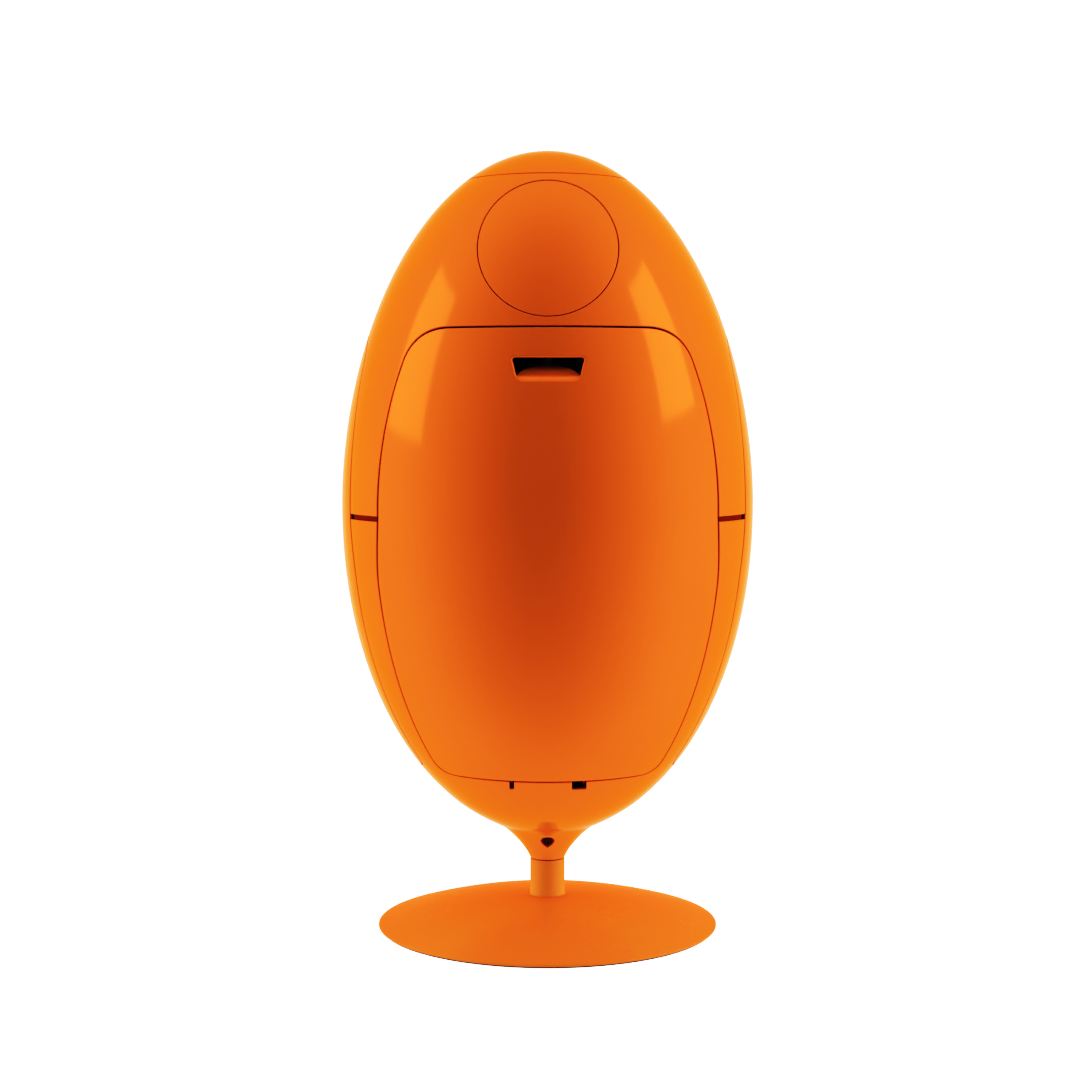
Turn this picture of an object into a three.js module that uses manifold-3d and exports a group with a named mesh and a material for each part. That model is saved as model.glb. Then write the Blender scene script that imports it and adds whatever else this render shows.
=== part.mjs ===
// Egg-shaped recycling bin on a round pedestal: three waste compartments round a hand press.
//
// Millimetres, +Z up. The origin is on the floor, on the post's axis, and the front door faces -Y.
// The bin is made of a base (disc, post, spigot), an egg that turns on the spigot, three tilting doors,
// three push flaps and the press, whose domed cap is the top of the egg.
// One sector is drawn facing -Y and repeated by turning its group 120 degrees about the axis.

import * as THREE from "three";
import { mergeVertices } from "three/addons/utils/BufferGeometryUtils.js";
import Module from "manifold-3d";

const wasm = await Module();
wasm.setup();

// ---------------------------------------------------------------- driving dimensions

const EGG_R = 250; // largest radius of the egg
const EQUATOR_Z = 520; // height of that radius above the floor
const UPPER_H = 426; // equator to the top of the cap
const LOWER_H = 403; // equator to where the lower curve would close without a neck
const UPPER_POWER = 1.9;
const LOWER_POWER = 2.07;
const WALL = 2.6; // shell, door and flap thickness
const TOP_Z = EQUATOR_Z + UPPER_H;

const NECK_Z = 84; // bottom of the neck
const NECK_R = 21;
const FLARE_TOP_Z = 175; // the neck's flare joins the egg's curve here
const BOWL_FLOOR_Z = 138; // the neck is solid below this
const HUB_TOP_Z = 172; // tubular hub inside the bowl
const HUB_R = 24;

const SECTORS = [
  ["front", 0],
  ["right", 120],
  ["left", -120],
];
const RIB_AZIMUTH = 60; // middle of the rib between two doors, from the sector's own -Y
const SLOT_Z = 509; // middle of the shadow gap between the upper and lower shells
const SLOT_H = 6;

const DOOR_TOP_Z = 727;
const DOOR_BOTTOM_Z = 205;
const DOOR_EDGE_Y = 156; // above the equator a door's side edge keeps this distance from the axis
const DOOR_LOW_AZIMUTH = 53; // below the equator it runs at this azimuth, in degrees

// Magnetic catch at the door's top edge: the door's steel plate, the magnet behind it and its bracket.
const CATCH = {
  half: 14,
  z0: DOOR_TOP_Z - 15.5,
  z1: DOOR_TOP_Z - 4,
  plateY: -212,
  plateT: 1.5,
  bracketY: -206,
  bracketT: 3,
};

const PORTHOLE_Z = 818.8; // middle of the round flap
const FLAP_R = 80;
const PORTHOLE_R = 81;
const FLAP_PIVOT = { y: -110, z: 884, bore: 2.3 };
const FLAP_LUG_X = 35; // the flap's lugs hang on the pin between the shell's ears
const FLAP_EAR_X = 43.5;
const LUG_T = 3;

const CAP_SEAM_Z = 909; // parting line between the press cap and the upper shell
const CAP_GAP = 0.9;
const DECK_Z = 902.4; // underside of the upper shell's deck
const DECK_T = 2.8;

const BASE_R = 208;
const BASE_CENTRE_Z = 38; // top of the domed disc at the post
const SHEET = 2.6; // thickness of the pressed steel disc
const PAD_H = 2;
const POST_R = 21.2;
const POST_TOP_Z = 83.1;
const SPIGOT_R = 17;
const SPIGOT_TOP_Z = 166;
const SCREW_Z = 109.2; // retaining screw in the neck
const SCREW_SEAT_Y = -26; // floor of the recess its head stands in
const FIT = 0.3; // clearance between mating pieces

const CHAMBER_R = 50; // inside of the press chamber
const CHAMBER_WALL = 2.5;
const ANVIL_Z = 555.7; // top of the anvil
const ANVIL_T = 9.6;
const GUIDE_TOP_Z = 908.6; // the cap's socket stands here when the press is down
const PRESS_REST_Z = 584; // underside of the press plate at rest
const ROD_R = 12;
const PRESS_BUSH_R = 16.8;

const SEGMENTS = 36; // round the egg, a multiple of 6 so that sectors and ribs repeat exactly
const FAR = 400; // longer than anything being cut

// ---------------------------------------------------------------- materials

const paint = (color, roughness, metalness = 0) =>
  new THREE.MeshStandardMaterial({ color, roughness, metalness });
const GLOSS_ORANGE = paint(0xf07018, 0.16);
const PAINTED_ORANGE = paint(0xf0731c, 0.32);
const GREY_PLASTIC = paint(0x54565a, 0.55);
const PALE_PLASTIC = paint(0xb9bbba, 0.5);
const STEEL = paint(0xa9acb0, 0.3, 1);
const BLACK_RUBBER = paint(0x1b1b1c, 0.85);
const BLACK_NYLON = paint(0x232426, 0.6);

// ---------------------------------------------------------------- solids

const radians = THREE.MathUtils.degToRad;
const lerp = THREE.MathUtils.lerp;
const smoothstep = THREE.MathUtils.smoothstep;

// A three.js geometry as a manifold solid, its faces turned outwards whichever way its profile ran.
function solid(geometry) {
  const bare = new THREE.BufferGeometry();
  bare.setAttribute("position", geometry.getAttribute("position").clone());
  bare.setIndex(geometry.index);
  const merged = mergeVertices(bare, 1e-4);
  const position = merged.getAttribute("position").array;
  const corner = (i) => new THREE.Vector3().fromArray(position, 3 * i);
  const faces = [];
  let volume = 0;
  for (let i = 0; i < merged.index.count; i += 3) {
    const [a, b, c] = merged.index.array.slice(i, i + 3);
    if (a === b || b === c || c === a) continue;
    faces.push([a, b, c]);
    volume += corner(a).dot(corner(b).cross(corner(c)));
  }
  const triVerts = new Uint32Array(faces.flatMap(([a, b, c]) => (volume < 0 ? [a, c, b] : [a, b, c])));
  return new wasm.Manifold(new wasm.Mesh({ numProp: 3, vertProperties: position, triVerts }));
}

function geometryOf(made) {
  const mesh = made.getMesh();
  const geometry = new THREE.BufferGeometry();
  geometry.setAttribute("position", new THREE.BufferAttribute(mesh.vertProperties, 3));
  geometry.setIndex(new THREE.BufferAttribute(mesh.triVerts, 1));
  geometry.computeVertexNormals();
  return geometry;
}

// Box between two corners.
function box(x0, x1, y0, y1, z0, z1) {
  const geometry = new THREE.BoxGeometry(x1 - x0, y1 - y0, z1 - z0);
  return solid(geometry.translate((x0 + x1) / 2, (y0 + y1) / 2, (z0 + z1) / 2));
}

// Upright cylinder on the axis, or on (x, y).
function cylinderZ(radius, z0, z1, segments = 32, x = 0, y = 0) {
  const geometry = new THREE.CylinderGeometry(radius, radius, z1 - z0, segments);
  return solid(geometry.rotateX(Math.PI / 2).translate(x, y, (z0 + z1) / 2));
}

function cylinderY(radius, y0, y1, x, z, segments = 24) {
  const geometry = new THREE.CylinderGeometry(radius, radius, y1 - y0, segments);
  return solid(geometry.translate(x, (y0 + y1) / 2, z));
}

function cylinderX(radius, x0, x1, y, z, segments = 16) {
  const geometry = new THREE.CylinderGeometry(radius, radius, x1 - x0, segments);
  return solid(geometry.rotateZ(Math.PI / 2).translate((x0 + x1) / 2, y, z));
}

// Solid of revolution about the Z axis from [radius, z] points.
function lathe(points, segments = SEGMENTS) {
  const profile = points.map(([r, z]) => new THREE.Vector2(r, z));
  return solid(new THREE.LatheGeometry(profile, segments).rotateX(Math.PI / 2));
}

const tube = (inner, outer, z0, z1, segments = 32) =>
  cylinderZ(outer, z0, z1, segments).subtract(cylinderZ(inner, z0 - 1, z1 + 1, segments));

// A shape drawn in (x, z) and extruded along Y.
function prismY(shape, y0, y1) {
  const settings = { depth: y1 - y0, bevelEnabled: false, curveSegments: 3 };
  const geometry = new THREE.ExtrudeGeometry(shape, settings);
  return solid(geometry.rotateX(Math.PI / 2).translate(0, y1, 0));
}

// A shape drawn in (y, z) and extruded along X.
function prismX(shape, x0, x1) {
  const geometry = new THREE.ExtrudeGeometry(shape, { depth: x1 - x0, bevelEnabled: false });
  return solid(geometry.rotateX(Math.PI / 2).rotateZ(Math.PI / 2).translate(x0, 0, 0));
}

// A shape drawn in (x, y) and extruded upwards.
function prismZ(shape, z0, z1) {
  const settings = { depth: z1 - z0, bevelEnabled: false, curveSegments: 6 };
  const geometry = new THREE.ExtrudeGeometry(shape, settings);
  return solid(geometry.translate(0, 0, z0));
}

const slab = (z0, z1) => box(-FAR, FAR, -FAR, FAR, z0, z1);
const shapeOf = (points) => new THREE.Shape(points.map(([x, y]) => new THREE.Vector2(x, y)));
const turned = (made, degrees) => solid(geometryOf(made).rotateZ(radians(degrees)));
const aroundSectors = (made) => SECTORS.map(([, angle]) => turned(made, angle)).reduce((a, b) => a.add(b));

// ---------------------------------------------------------------- the egg's surface

function eggRadius(z) {
  const upper = z > EQUATOR_Z;
  const share = Math.abs(z - EQUATOR_Z) / (upper ? UPPER_H : LOWER_H);
  return EGG_R * Math.sqrt(Math.max(0, 1 - share ** (upper ? UPPER_POWER : LOWER_POWER)));
}

// The outer profile from the neck to the pole, as [radius, z] points.
function eggProfile() {
  const flareTop = eggRadius(FLARE_TOP_Z);
  const point = (r, z) => new THREE.Vector2(r, z);
  const waist = point(58, 126.1); // where the flare turns from hollow to full
  const flare = [
    new THREE.CubicBezierCurve(point(NECK_R, NECK_Z), point(31.8, 107.3), point(56.2, 125.3), waist),
    new THREE.CubicBezierCurve(waist, point(99.5, 144.9), point(117.4, 161.8), point(flareTop, FLARE_TOP_Z)),
  ];
  const points = flare.flatMap((curve) => curve.getPoints(3).slice(0, -1)).map((p) => [p.x, p.y]);
  const lowest = Math.asin((EQUATOR_Z - FLARE_TOP_Z) / LOWER_H);
  const LOWER_RINGS = 5;
  for (let i = 0; i < LOWER_RINGS; i++) {
    const z = EQUATOR_Z - LOWER_H * Math.sin(lowest * (1 - i / LOWER_RINGS));
    points.push([eggRadius(z), z]);
  }
  const UPPER_RINGS = 8;
  const POLE_EASE = 1.2; // draws the rings closer together towards the pole
  for (let i = 0; i < UPPER_RINGS; i++) {
    const fromPole = (Math.PI / 2) * (1 - i / UPPER_RINGS) ** POLE_EASE;
    const z = EQUATOR_Z + UPPER_H * Math.cos(fromPole);
    points.push([eggRadius(z), z]);
  }
  return [...points, [0, TOP_Z]];
}

// The same profile moved inwards by a depth, along its normals.
function insetProfile(depth) {
  const outer = eggProfile();
  return outer.map(([r, z], i) => {
    const [r0, z0] = outer[Math.max(0, i - 1)];
    const [r1, z1] = outer[Math.min(outer.length - 1, i + 1)];
    const length = Math.hypot(r1 - r0, z1 - z0);
    if (i === outer.length - 1) return [0, z - depth];
    return [r - (depth * (z1 - z0)) / length, z + (depth * (r1 - r0)) / length];
  });
}

// The egg filled in to a depth below its surface.
function eggSolid(depth) {
  const profile = insetProfile(depth);
  return lathe([[0, profile[0][1]], ...profile]);
}

const EGG = eggSolid(0);
const HOLLOW = eggSolid(WALL).intersect(slab(BOWL_FLOOR_Z, TOP_Z));
const SKIN = EGG.subtract(HOLLOW);

// ---------------------------------------------------------------- openings in the egg

// Half the door's width at a height, seen from the front.
function doorHalfWidth(z) {
  const r = eggRadius(z);
  const equatorAzimuth = Math.acos(DOOR_EDGE_Y / EGG_R);
  if (z >= EQUATOR_Z) return Math.sqrt(r * r - DOOR_EDGE_Y ** 2);
  const below = smoothstep(EQUATOR_Z - z, 0, 90);
  return r * Math.sin(lerp(equatorAzimuth, radians(DOOR_LOW_AZIMUTH), below));
}

// The seam round the door, as [x, z] points, anticlockwise from the foot's right corner.
function doorSeam() {
  const foot = { run: 20, rise: 17 }; // how far the rounded corners reach along each edge
  const head = { run: 38, rise: 34 };
  const shape = new THREE.Shape();
  const bottomX = doorHalfWidth(DOOR_BOTTOM_Z);
  const topX = doorHalfWidth(DOOR_TOP_Z);
  const sideBottom = DOOR_BOTTOM_Z + foot.rise;
  const sideTop = DOOR_TOP_Z - head.rise;
  const STEPS = 7;
  shape.moveTo(0, DOOR_BOTTOM_Z);
  shape.lineTo(bottomX - foot.run, DOOR_BOTTOM_Z);
  shape.quadraticCurveTo(bottomX, DOOR_BOTTOM_Z, doorHalfWidth(sideBottom), sideBottom);
  for (let i = 1; i <= STEPS; i++) {
    const z = lerp(sideBottom, sideTop, i / STEPS);
    shape.lineTo(doorHalfWidth(z), z);
  }
  shape.quadraticCurveTo(topX, DOOR_TOP_Z, topX - head.run, DOOR_TOP_Z);
  shape.lineTo(0, DOOR_TOP_Z);
  const right = shape.getPoints(4).map((p) => [p.x, p.y]);
  const left = right.slice(1, -1).reverse();
  return [...right, ...left.map(([x, z]) => [-x, z])];
}

// Width of the visible gap: widest at the top edge and beside the rib slots.
function doorGap(z, upward) {
  const side = 0.9 + 0.9 * Math.exp(-(((z - SLOT_Z) / 95) ** 2));
  return lerp(side, upward > 0 ? 2.2 : 1.3, upward ** 2);
}

// The seam moved outwards by a share of the gap: +0.5 gives the opening and -0.5 the door.
function doorOutline(share) {
  const seam = doorSeam();
  return shapeOf(
    seam.map(([x, z], i) => {
      const [x0, z0] = seam[(i + seam.length - 1) % seam.length];
      const [x1, z1] = seam[(i + 1) % seam.length];
      const length = Math.hypot(x1 - x0, z1 - z0);
      const normal = [(z1 - z0) / length, (x0 - x1) / length];
      const move = share * doorGap(z, normal[1]);
      return [x + normal[0] * move, z + normal[1] * move];
    }),
  );
}

const DOOR_OPENING = prismY(doorOutline(0.5), -FAR, 0);

// Two notches in the lower shell's rim let the door's hooks through, each hook at its own x.
const NOTCHES = [
  { x0: -44.6, x1: -39.4, hook: -42 },
  { x0: 28, x1: 44.7, hook: 42 },
];
const NOTCH_FLOOR_Z = 194.3;
const notchCuts = () => NOTCHES.map(({ x0, x1 }) => box(x0, x1, -FAR, -60, NOTCH_FLOOR_Z, 210));

// ---------------------------------------------------------------- base

const BASE_RIM_Z = PAD_H + SHEET;
const domeZ = (r) => BASE_RIM_Z + (BASE_CENTRE_Z - BASE_RIM_Z) * (1 - (r / BASE_R) ** 2);

function baseDisc() {
  const radii = [52, 84, 112, 138, 162, 186, BASE_R - 1];
  const top = [[POST_R + 1, BASE_CENTRE_Z], ...radii.map((r) => [r, domeZ(r)])];
  const under = top.map(([r, z]) => [r, z - SHEET]).reverse();
  const edge = [[BASE_R, BASE_RIM_Z - 0.8], [BASE_R, PAD_H + 0.6]];
  const hole = 6.4;
  return lathe(
    [[hole, BASE_CENTRE_Z], ...top, ...edge, ...under, [hole, BASE_CENTRE_Z - SHEET], [hole, BASE_CENTRE_Z]],
    40,
  );
}

// Rubber ring whose top follows the disc's underside.
function basePad() {
  const [inner, outer] = [192, 205];
  const top = (r) => domeZ(r) - SHEET - 0.6;
  return lathe([[inner, 0], [outer, 0], [outer, top(outer)], [inner, top(inner)], [inner, 0]], 40);
}

// Tube welded to the disc: the weld's fillet is drawn with the tube.
function post() {
  const foot = BASE_CENTRE_Z + FIT;
  const bore = SPIGOT_R + FIT + 0.2;
  return lathe(
    [
      [bore, foot],
      [POST_R + 2.2, foot],
      [POST_R + 0.6, foot + 0.9],
      [POST_R, foot + 2.6],
      [POST_R, POST_TOP_Z - 1.4],
      [POST_R - 0.5, POST_TOP_Z - 0.4],
      [POST_R - 1.4, POST_TOP_Z],
      [bore, POST_TOP_Z],
      [bore, foot],
    ],
    28,
  );
}

// Steel bar inside the post that carries the egg, with a groove for the retaining screw.
function spigot() {
  const foot = BASE_CENTRE_Z + FIT;
  const groove = { r: 14.2, z0: SCREW_Z - 4.5, z1: SCREW_Z + 4.5 };
  return lathe(
    [
      [0, foot + 40],
      [6.2, foot + 40],
      [6.2, foot],
      [SPIGOT_R, foot],
      [SPIGOT_R, groove.z0],
      [groove.r, groove.z0 + 1],
      [groove.r, groove.z1 - 1],
      [SPIGOT_R, groove.z1],
      [SPIGOT_R, SPIGOT_TOP_Z - 2],
      [SPIGOT_R - 2, SPIGOT_TOP_Z],
      [0, SPIGOT_TOP_Z],
    ],
    24,
  );
}

const BOLT_SEAT_Z = BASE_CENTRE_Z - SHEET - FIT; // under the disc
const postWasher = () => tube(6.4, 15, BOLT_SEAT_Z - 1.6, BOLT_SEAT_Z, 24);

function postBolt() {
  const seat = BOLT_SEAT_Z - 1.6 - 0.1;
  const head = cylinderZ(9, seat - 4.6, seat, 6);
  return head.add(cylinderZ(5.8, seat - 1, BASE_CENTRE_Z + 38, 16));
}

const thrustWasher = () => tube(SPIGOT_R + 0.4, POST_R - 1.2, POST_TOP_Z + 0.15, NECK_Z - 0.25, 24);

// ---------------------------------------------------------------- shells

// A guitar-pick recess in the neck, wide at the top, that lets a driver reach the screw.
function neckRecess() {
  const { half, rise, drop, shoulder } = { half: 8.5, rise: 8.4, drop: 7.4, shoulder: 1.8 };
  const shape = new THREE.Shape();
  shape.moveTo(0, SCREW_Z - drop);
  shape.quadraticCurveTo(0.82 * half, SCREW_Z - drop / 2, half, SCREW_Z + shoulder);
  shape.quadraticCurveTo(0.95 * half, SCREW_Z + rise, 0, SCREW_Z + rise);
  shape.quadraticCurveTo(-0.95 * half, SCREW_Z + rise, -half, SCREW_Z + shoulder);
  shape.quadraticCurveTo(-0.82 * half, SCREW_Z - drop / 2, 0, SCREW_Z - drop);
  return shape;
}

function lowerShell() {
  const bore = cylinderZ(SPIGOT_R + 2.4, NECK_Z - 1, HUB_TOP_Z + 1, 32);
  const hub = cylinderZ(HUB_R, BOWL_FLOOR_Z - 4, HUB_TOP_Z, 32);
  let made = SKIN.intersect(slab(NECK_Z - 1, SLOT_Z - SLOT_H / 2));
  made = made.add(hub).subtract(bore);
  made = made.subtract(aroundSectors(DOOR_OPENING));
  for (const cut of notchCuts()) made = made.subtract(aroundSectors(cut));
  made = made.subtract(prismY(neckRecess(), -60, SCREW_SEAT_Y));
  return made.subtract(cylinderY(3.2, -40, 0, 0, SCREW_Z, 16));
}

// Nylon sleeve between the hub and the spigot.
function swivelBush() {
  const sleeve = tube(SPIGOT_R + FIT, SPIGOT_R + 2.1, NECK_Z + 0.5, HUB_TOP_Z - 2, 32);
  return sleeve.subtract(cylinderY(3.4, -40, 0, 0, SCREW_Z, 16));
}

function neckScrew() {
  const seat = SCREW_SEAT_Y - 0.2;
  const head = cylinderY(5, seat - 3, seat, 0, SCREW_Z, 16);
  const shank = cylinderY(2.8, seat - 0.4, -15.4, 0, SCREW_Z, 12); // ends in the spigot's groove
  const socket = cylinderY(2.4, seat - 5, seat - 1.2, 0, SCREW_Z, 6);
  return head.add(shank).subtract(socket);
}

// Ears under the deck that hold a flap's pin.
function flapEars() {
  const { y, z } = FLAP_PIVOT;
  const ear = (x) => box(x - LUG_T / 2, x + LUG_T / 2, y - 5, y + 6, z - 5, DECK_Z + 1);
  const pair = ear(-FLAP_EAR_X).add(ear(FLAP_EAR_X)).intersect(eggSolid(WALL - 0.5));
  return pair.subtract(cylinderX(FLAP_PIVOT.bore, -60, 60, y, z));
}

// Shelf and tongue behind a door's top edge, moulded in one with the upper shell.
function catchBracket() {
  const { bracketY, bracketT, z0 } = CATCH;
  const half = CATCH.half + 1;
  const shelf = box(-half, half, -FAR, bracketY + bracketT, DOOR_TOP_Z + 2, DOOR_TOP_Z + 4.5);
  const tongue = box(-half, half, bracketY, bracketY + bracketT, z0, DOOR_TOP_Z + 3);
  return shelf.add(tongue).intersect(eggSolid(1));
}

function upperShell() {
  const bushHole = cylinderZ(PRESS_BUSH_R + 0.6, DECK_Z - 5, DECK_Z + 10, 32);
  const deck = eggSolid(1).intersect(slab(DECK_Z, DECK_Z + DECK_T)).subtract(bushHole);
  // The wall is thinned round the porthole, which lets the flap's edge swing past.
  const rebate = cylinderY(PORTHOLE_R + 3.2, -FAR, 0, 0, PORTHOLE_Z, 30).intersect(eggSolid(WALL / 2));
  const porthole = cylinderY(PORTHOLE_R, -FAR, 0, 0, PORTHOLE_Z, 30);
  let made = SKIN.intersect(slab(SLOT_Z + SLOT_H / 2, CAP_SEAM_Z - CAP_GAP / 2));
  made = made.subtract(aroundSectors(rebate.intersect(slab(0, DECK_Z))));
  made = made.add(deck).add(aroundSectors(catchBracket())).add(aroundSectors(flapEars()));
  made = made.subtract(aroundSectors(porthole));
  return made.subtract(aroundSectors(DOOR_OPENING));
}

// ---------------------------------------------------------------- inside the egg

const COLUMN_R = 27;

function floorTray() {
  const seat = HUB_TOP_Z + 6;
  const edge = eggRadius(seat) - WALL - 3;
  return tube(COLUMN_R + 0.4, edge, seat, seat + 2.5, 36);
}

const centreColumn = () => tube(HUB_R + 0.4, COLUMN_R, BOWL_FLOOR_Z + 22, ANVIL_Z - ANVIL_T - 0.2, 32);

function pressAnvil() {
  const top = cylinderZ(CHAMBER_R + CHAMBER_WALL, ANVIL_Z - 4, ANVIL_Z - 0.1, 36);
  return top.add(cylinderZ(36, ANVIL_Z - ANVIL_T, ANVIL_Z - 3, 32));
}

// Wall of the press chamber, open towards the front compartment.
function pressChamber() {
  const wall = tube(CHAMBER_R, CHAMBER_R + CHAMBER_WALL, ANVIL_Z + 0.2, DECK_Z - 0.4, 36);
  const mouth = shapeOf([
    [0, 0],
    [-120, -80],
    [-120, -FAR],
    [120, -FAR],
    [120, -80],
  ]);
  return wall.subtract(prismZ(mouth, ANVIL_Z - 1, DECK_Z + 1));
}

// Panel behind a rib, between two compartments, with ledges that carry the bag rings.
// Drawn along +X, then turned to the rib.
const PARTITION_T = 3;
const BAG_RING_Z = 648;

function partition() {
  const panel = box(0, EGG_R, -PARTITION_T / 2, PARTITION_T / 2, HUB_TOP_Z + 9, DECK_Z - 4);
  const ledge = (x) => box(x, x + 16, -15, 15, BAG_RING_Z - 7, BAG_RING_Z - FIT);
  const inside = eggSolid(WALL + 3.9); // clear of the rail behind the rib
  const column = cylinderZ(COLUMN_R + 0.5, 0, ANVIL_Z, 32);
  const chamber = cylinderZ(CHAMBER_R + CHAMBER_WALL + 0.5, ANVIL_Z - ANVIL_T - 1, TOP_Z, 36);
  const whole = panel.add(ledge(92)).add(ledge(160));
  return turned(whole.intersect(inside).subtract(column).subtract(chamber), RIB_AZIMUTH - 90);
}

// Strip that backs a rib and ties the two shells together across the slot.
function ribRail() {
  const strip = eggSolid(WALL + 0.4).subtract(eggSolid(WALL + 3.4));
  const foot = HUB_TOP_Z + 16;
  const head = DECK_Z - 26;
  // Narrower below, where the rib is narrower too and the doors' corners swing past.
  const edge = [[10, foot], [18, 330], [25, 430], [32, SLOT_Z - 9], [32, head]];
  const outline = shapeOf([...edge, ...edge.map(([x, z]) => [-x, z]).reverse()]);
  return turned(strip.intersect(prismY(outline, -FAR, 0)), RIB_AZIMUTH);
}

// Flat hoop that holds a bag's mouth open and rests on the partitions' ledges.
// Its two outlines are sectors of rings, each given by its radii and by its half angle at either radius.
function bagRing() {
  const thickness = 5;
  const rim = { outer: 196, outerAngle: 55, inner: 66, innerAngle: 46 };
  const mouth = { outer: 187, outerAngle: 51.5, inner: 76, innerAngle: 38 };
  const arc = (r, from, to) => {
    const STEPS = 8;
    const angles = Array.from({ length: STEPS + 1 }, (_, i) => radians(lerp(from, to, i / STEPS)));
    return angles.map((a) => [r * Math.sin(a), -r * Math.cos(a)]);
  };
  const outline = ({ outer, outerAngle, inner, innerAngle }) =>
    shapeOf([...arc(outer, -outerAngle, outerAngle), ...arc(inner, innerAngle, -innerAngle)]);
  const band = outline(rim);
  band.holes.push(outline(mouth));
  return prismZ(band, BAG_RING_Z, BAG_RING_Z + thickness);
}

// ---------------------------------------------------------------- doors

// Finger opening in the door, wider at the top, with a ramp below that leads the fingers in and up.
const HANDLE = { top: 692.5, bottom: 667.5, topHalf: 42, bottomHalf: 33, corner: 6 };

function handleOutline() {
  const { top, bottom, topHalf, bottomHalf, corner } = HANDLE;
  const shape = new THREE.Shape();
  shape.moveTo(0, bottom);
  for (const side of [1, -1]) {
    const corners = [
      [bottomHalf - corner, bottom, bottomHalf, bottom, bottomHalf + corner / 2, bottom + corner],
      [topHalf - corner / 2, top - corner, topHalf, top, topHalf - corner, top],
    ];
    const ordered = side > 0 ? corners : corners.map(([a, b, c, d, e, f]) => [e, f, c, d, a, b]).reverse();
    for (const [x0, z0, xc, zc, x1, z1] of ordered) {
      shape.lineTo(side * x0, z0);
      shape.quadraticCurveTo(side * xc, zc, side * x1, z1);
    }
  }
  return shape;
}

// A slice through the ramp, as [y, z] points, extruded across the door and rounded off above.
function handleRamp() {
  const slice = shapeOf([
    [-232.5, 663],
    [-217.5, 677.5],
    [-209.5, 680],
    [-197, 682],
    [-197, 679.6],
    [-211.5, 677.4],
    [-219.5, 672.5],
    [-231.5, 660.5],
  ]);
  const half = 38;
  const arch = new THREE.Shape().absellipse(0, HANDLE.bottom - 2, half, 19, 0, 2 * Math.PI);
  const trim = prismY(new THREE.Shape(arch.getPoints(24).slice(0, -1)), -FAR, 0);
  return prismX(slice, -half, half).intersect(trim);
}

// Each hook drops through its notch and turns in behind the lower shell's rim.
function doorHook({ hook }) {
  const half = 2;
  const profile = shapeOf([
    [-168, 216],
    [-147, 209],
    [-136.5, 204],
    [-134, 196.5],
    [-131, 195],
    [-128.5, 189],
    [-125.5, 188],
    [-125, 199],
    [-130, 209],
    [-139, 222],
    [-158, 238],
    [-176, 236],
  ]);
  return prismX(profile, hook - half, hook + half);
}

function door() {
  const { half, z0, z1, plateY } = CATCH;
  const opening = prismY(handleOutline(), -FAR, 0);
  const plateBoss = box(-half - 1, half + 1, -FAR, plateY - FIT, z0 - 0.5, z1 + 0.5);
  const inward = eggSolid(WALL / 2);
  let made = SKIN.intersect(prismY(doorOutline(-0.5), -FAR, 0)).subtract(opening);
  made = made.add(plateBoss.intersect(inward)).add(handleRamp().intersect(inward));
  for (const notch of NOTCHES) made = made.add(doorHook(notch).intersect(inward));
  return made;
}

function catchPlate() {
  const { half, z0, z1, plateY, plateT } = CATCH;
  return box(-half, half, plateY, plateY + plateT, z0, z1);
}

function catchMagnet() {
  const { half, z0, plateY, plateT, bracketY } = CATCH;
  return box(-half, half, plateY + plateT + 0.5, bracketY - FIT, z0 + 0.5, DOOR_TOP_Z + 0.5);
}

// ---------------------------------------------------------------- flaps

function flap() {
  const { y, z, bore } = FLAP_PIVOT;
  const disc = SKIN.intersect(cylinderY(FLAP_R, -FAR, 0, 0, PORTHOLE_Z, 30));
  const lug = (x) =>
    box(x - LUG_T / 2, x + LUG_T / 2, -FAR, y + 1, z - 16, z - 1)
      .add(cylinderX(2 * bore, x - LUG_T / 2, x + LUG_T / 2, y, z))
      .intersect(eggSolid(WALL / 2));
  return disc.add(lug(-FLAP_LUG_X)).add(lug(FLAP_LUG_X)).subtract(cylinderX(bore, -60, 60, y, z));
}

const flapPin = () => cylinderX(FLAP_PIVOT.bore - FIT, -46, 46, FLAP_PIVOT.y, FLAP_PIVOT.z, 12);

// Torsion spring wound round the pin.
function flapSpring() {
  const { y, z } = FLAP_PIVOT;
  const coil = { r: 4, turns: 3, half: 12 };
  const STEPS = 27;
  const points = Array.from({ length: STEPS + 1 }, (_, i) => {
    const share = i / STEPS;
    const angle = 2 * Math.PI * coil.turns * share;
    const x = lerp(-coil.half, coil.half, share);
    return new THREE.Vector3(x, y + coil.r * Math.cos(angle), z + coil.r * Math.sin(angle));
  });
  const wire = new THREE.Shape(new THREE.Path().absarc(0, 0, 0.75, 0, 2 * Math.PI).getPoints(2).slice(0, -1));
  const path = new THREE.CatmullRomCurve3(points);
  return solid(new THREE.ExtrudeGeometry(wire, { steps: STEPS, extrudePath: path, bevelEnabled: false }));
}

// ---------------------------------------------------------------- press

function pressCap() {
  const shell = SKIN.intersect(slab(CAP_SEAM_Z + CAP_GAP / 2, TOP_Z + 1));
  const foot = GUIDE_TOP_Z + FIT;
  const socket = lathe([[0, foot], [18, foot], [18, TOP_Z - 4], [0, TOP_Z - 1]], 24);
  return shell.add(socket).subtract(cylinderZ(ROD_R + FIT, DECK_Z, TOP_Z - 16, 24));
}

const pressRod = () => cylinderZ(ROD_R, PRESS_REST_Z + 6.3, TOP_Z - 16.3, 24);

function pressPlate() {
  const disc = cylinderZ(CHAMBER_R - 5, PRESS_REST_Z, PRESS_REST_Z + 6, 36);
  const boss = tube(ROD_R + FIT, 18, PRESS_REST_Z + 5, PRESS_REST_Z + 24, 24);
  return disc.add(boss);
}

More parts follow.
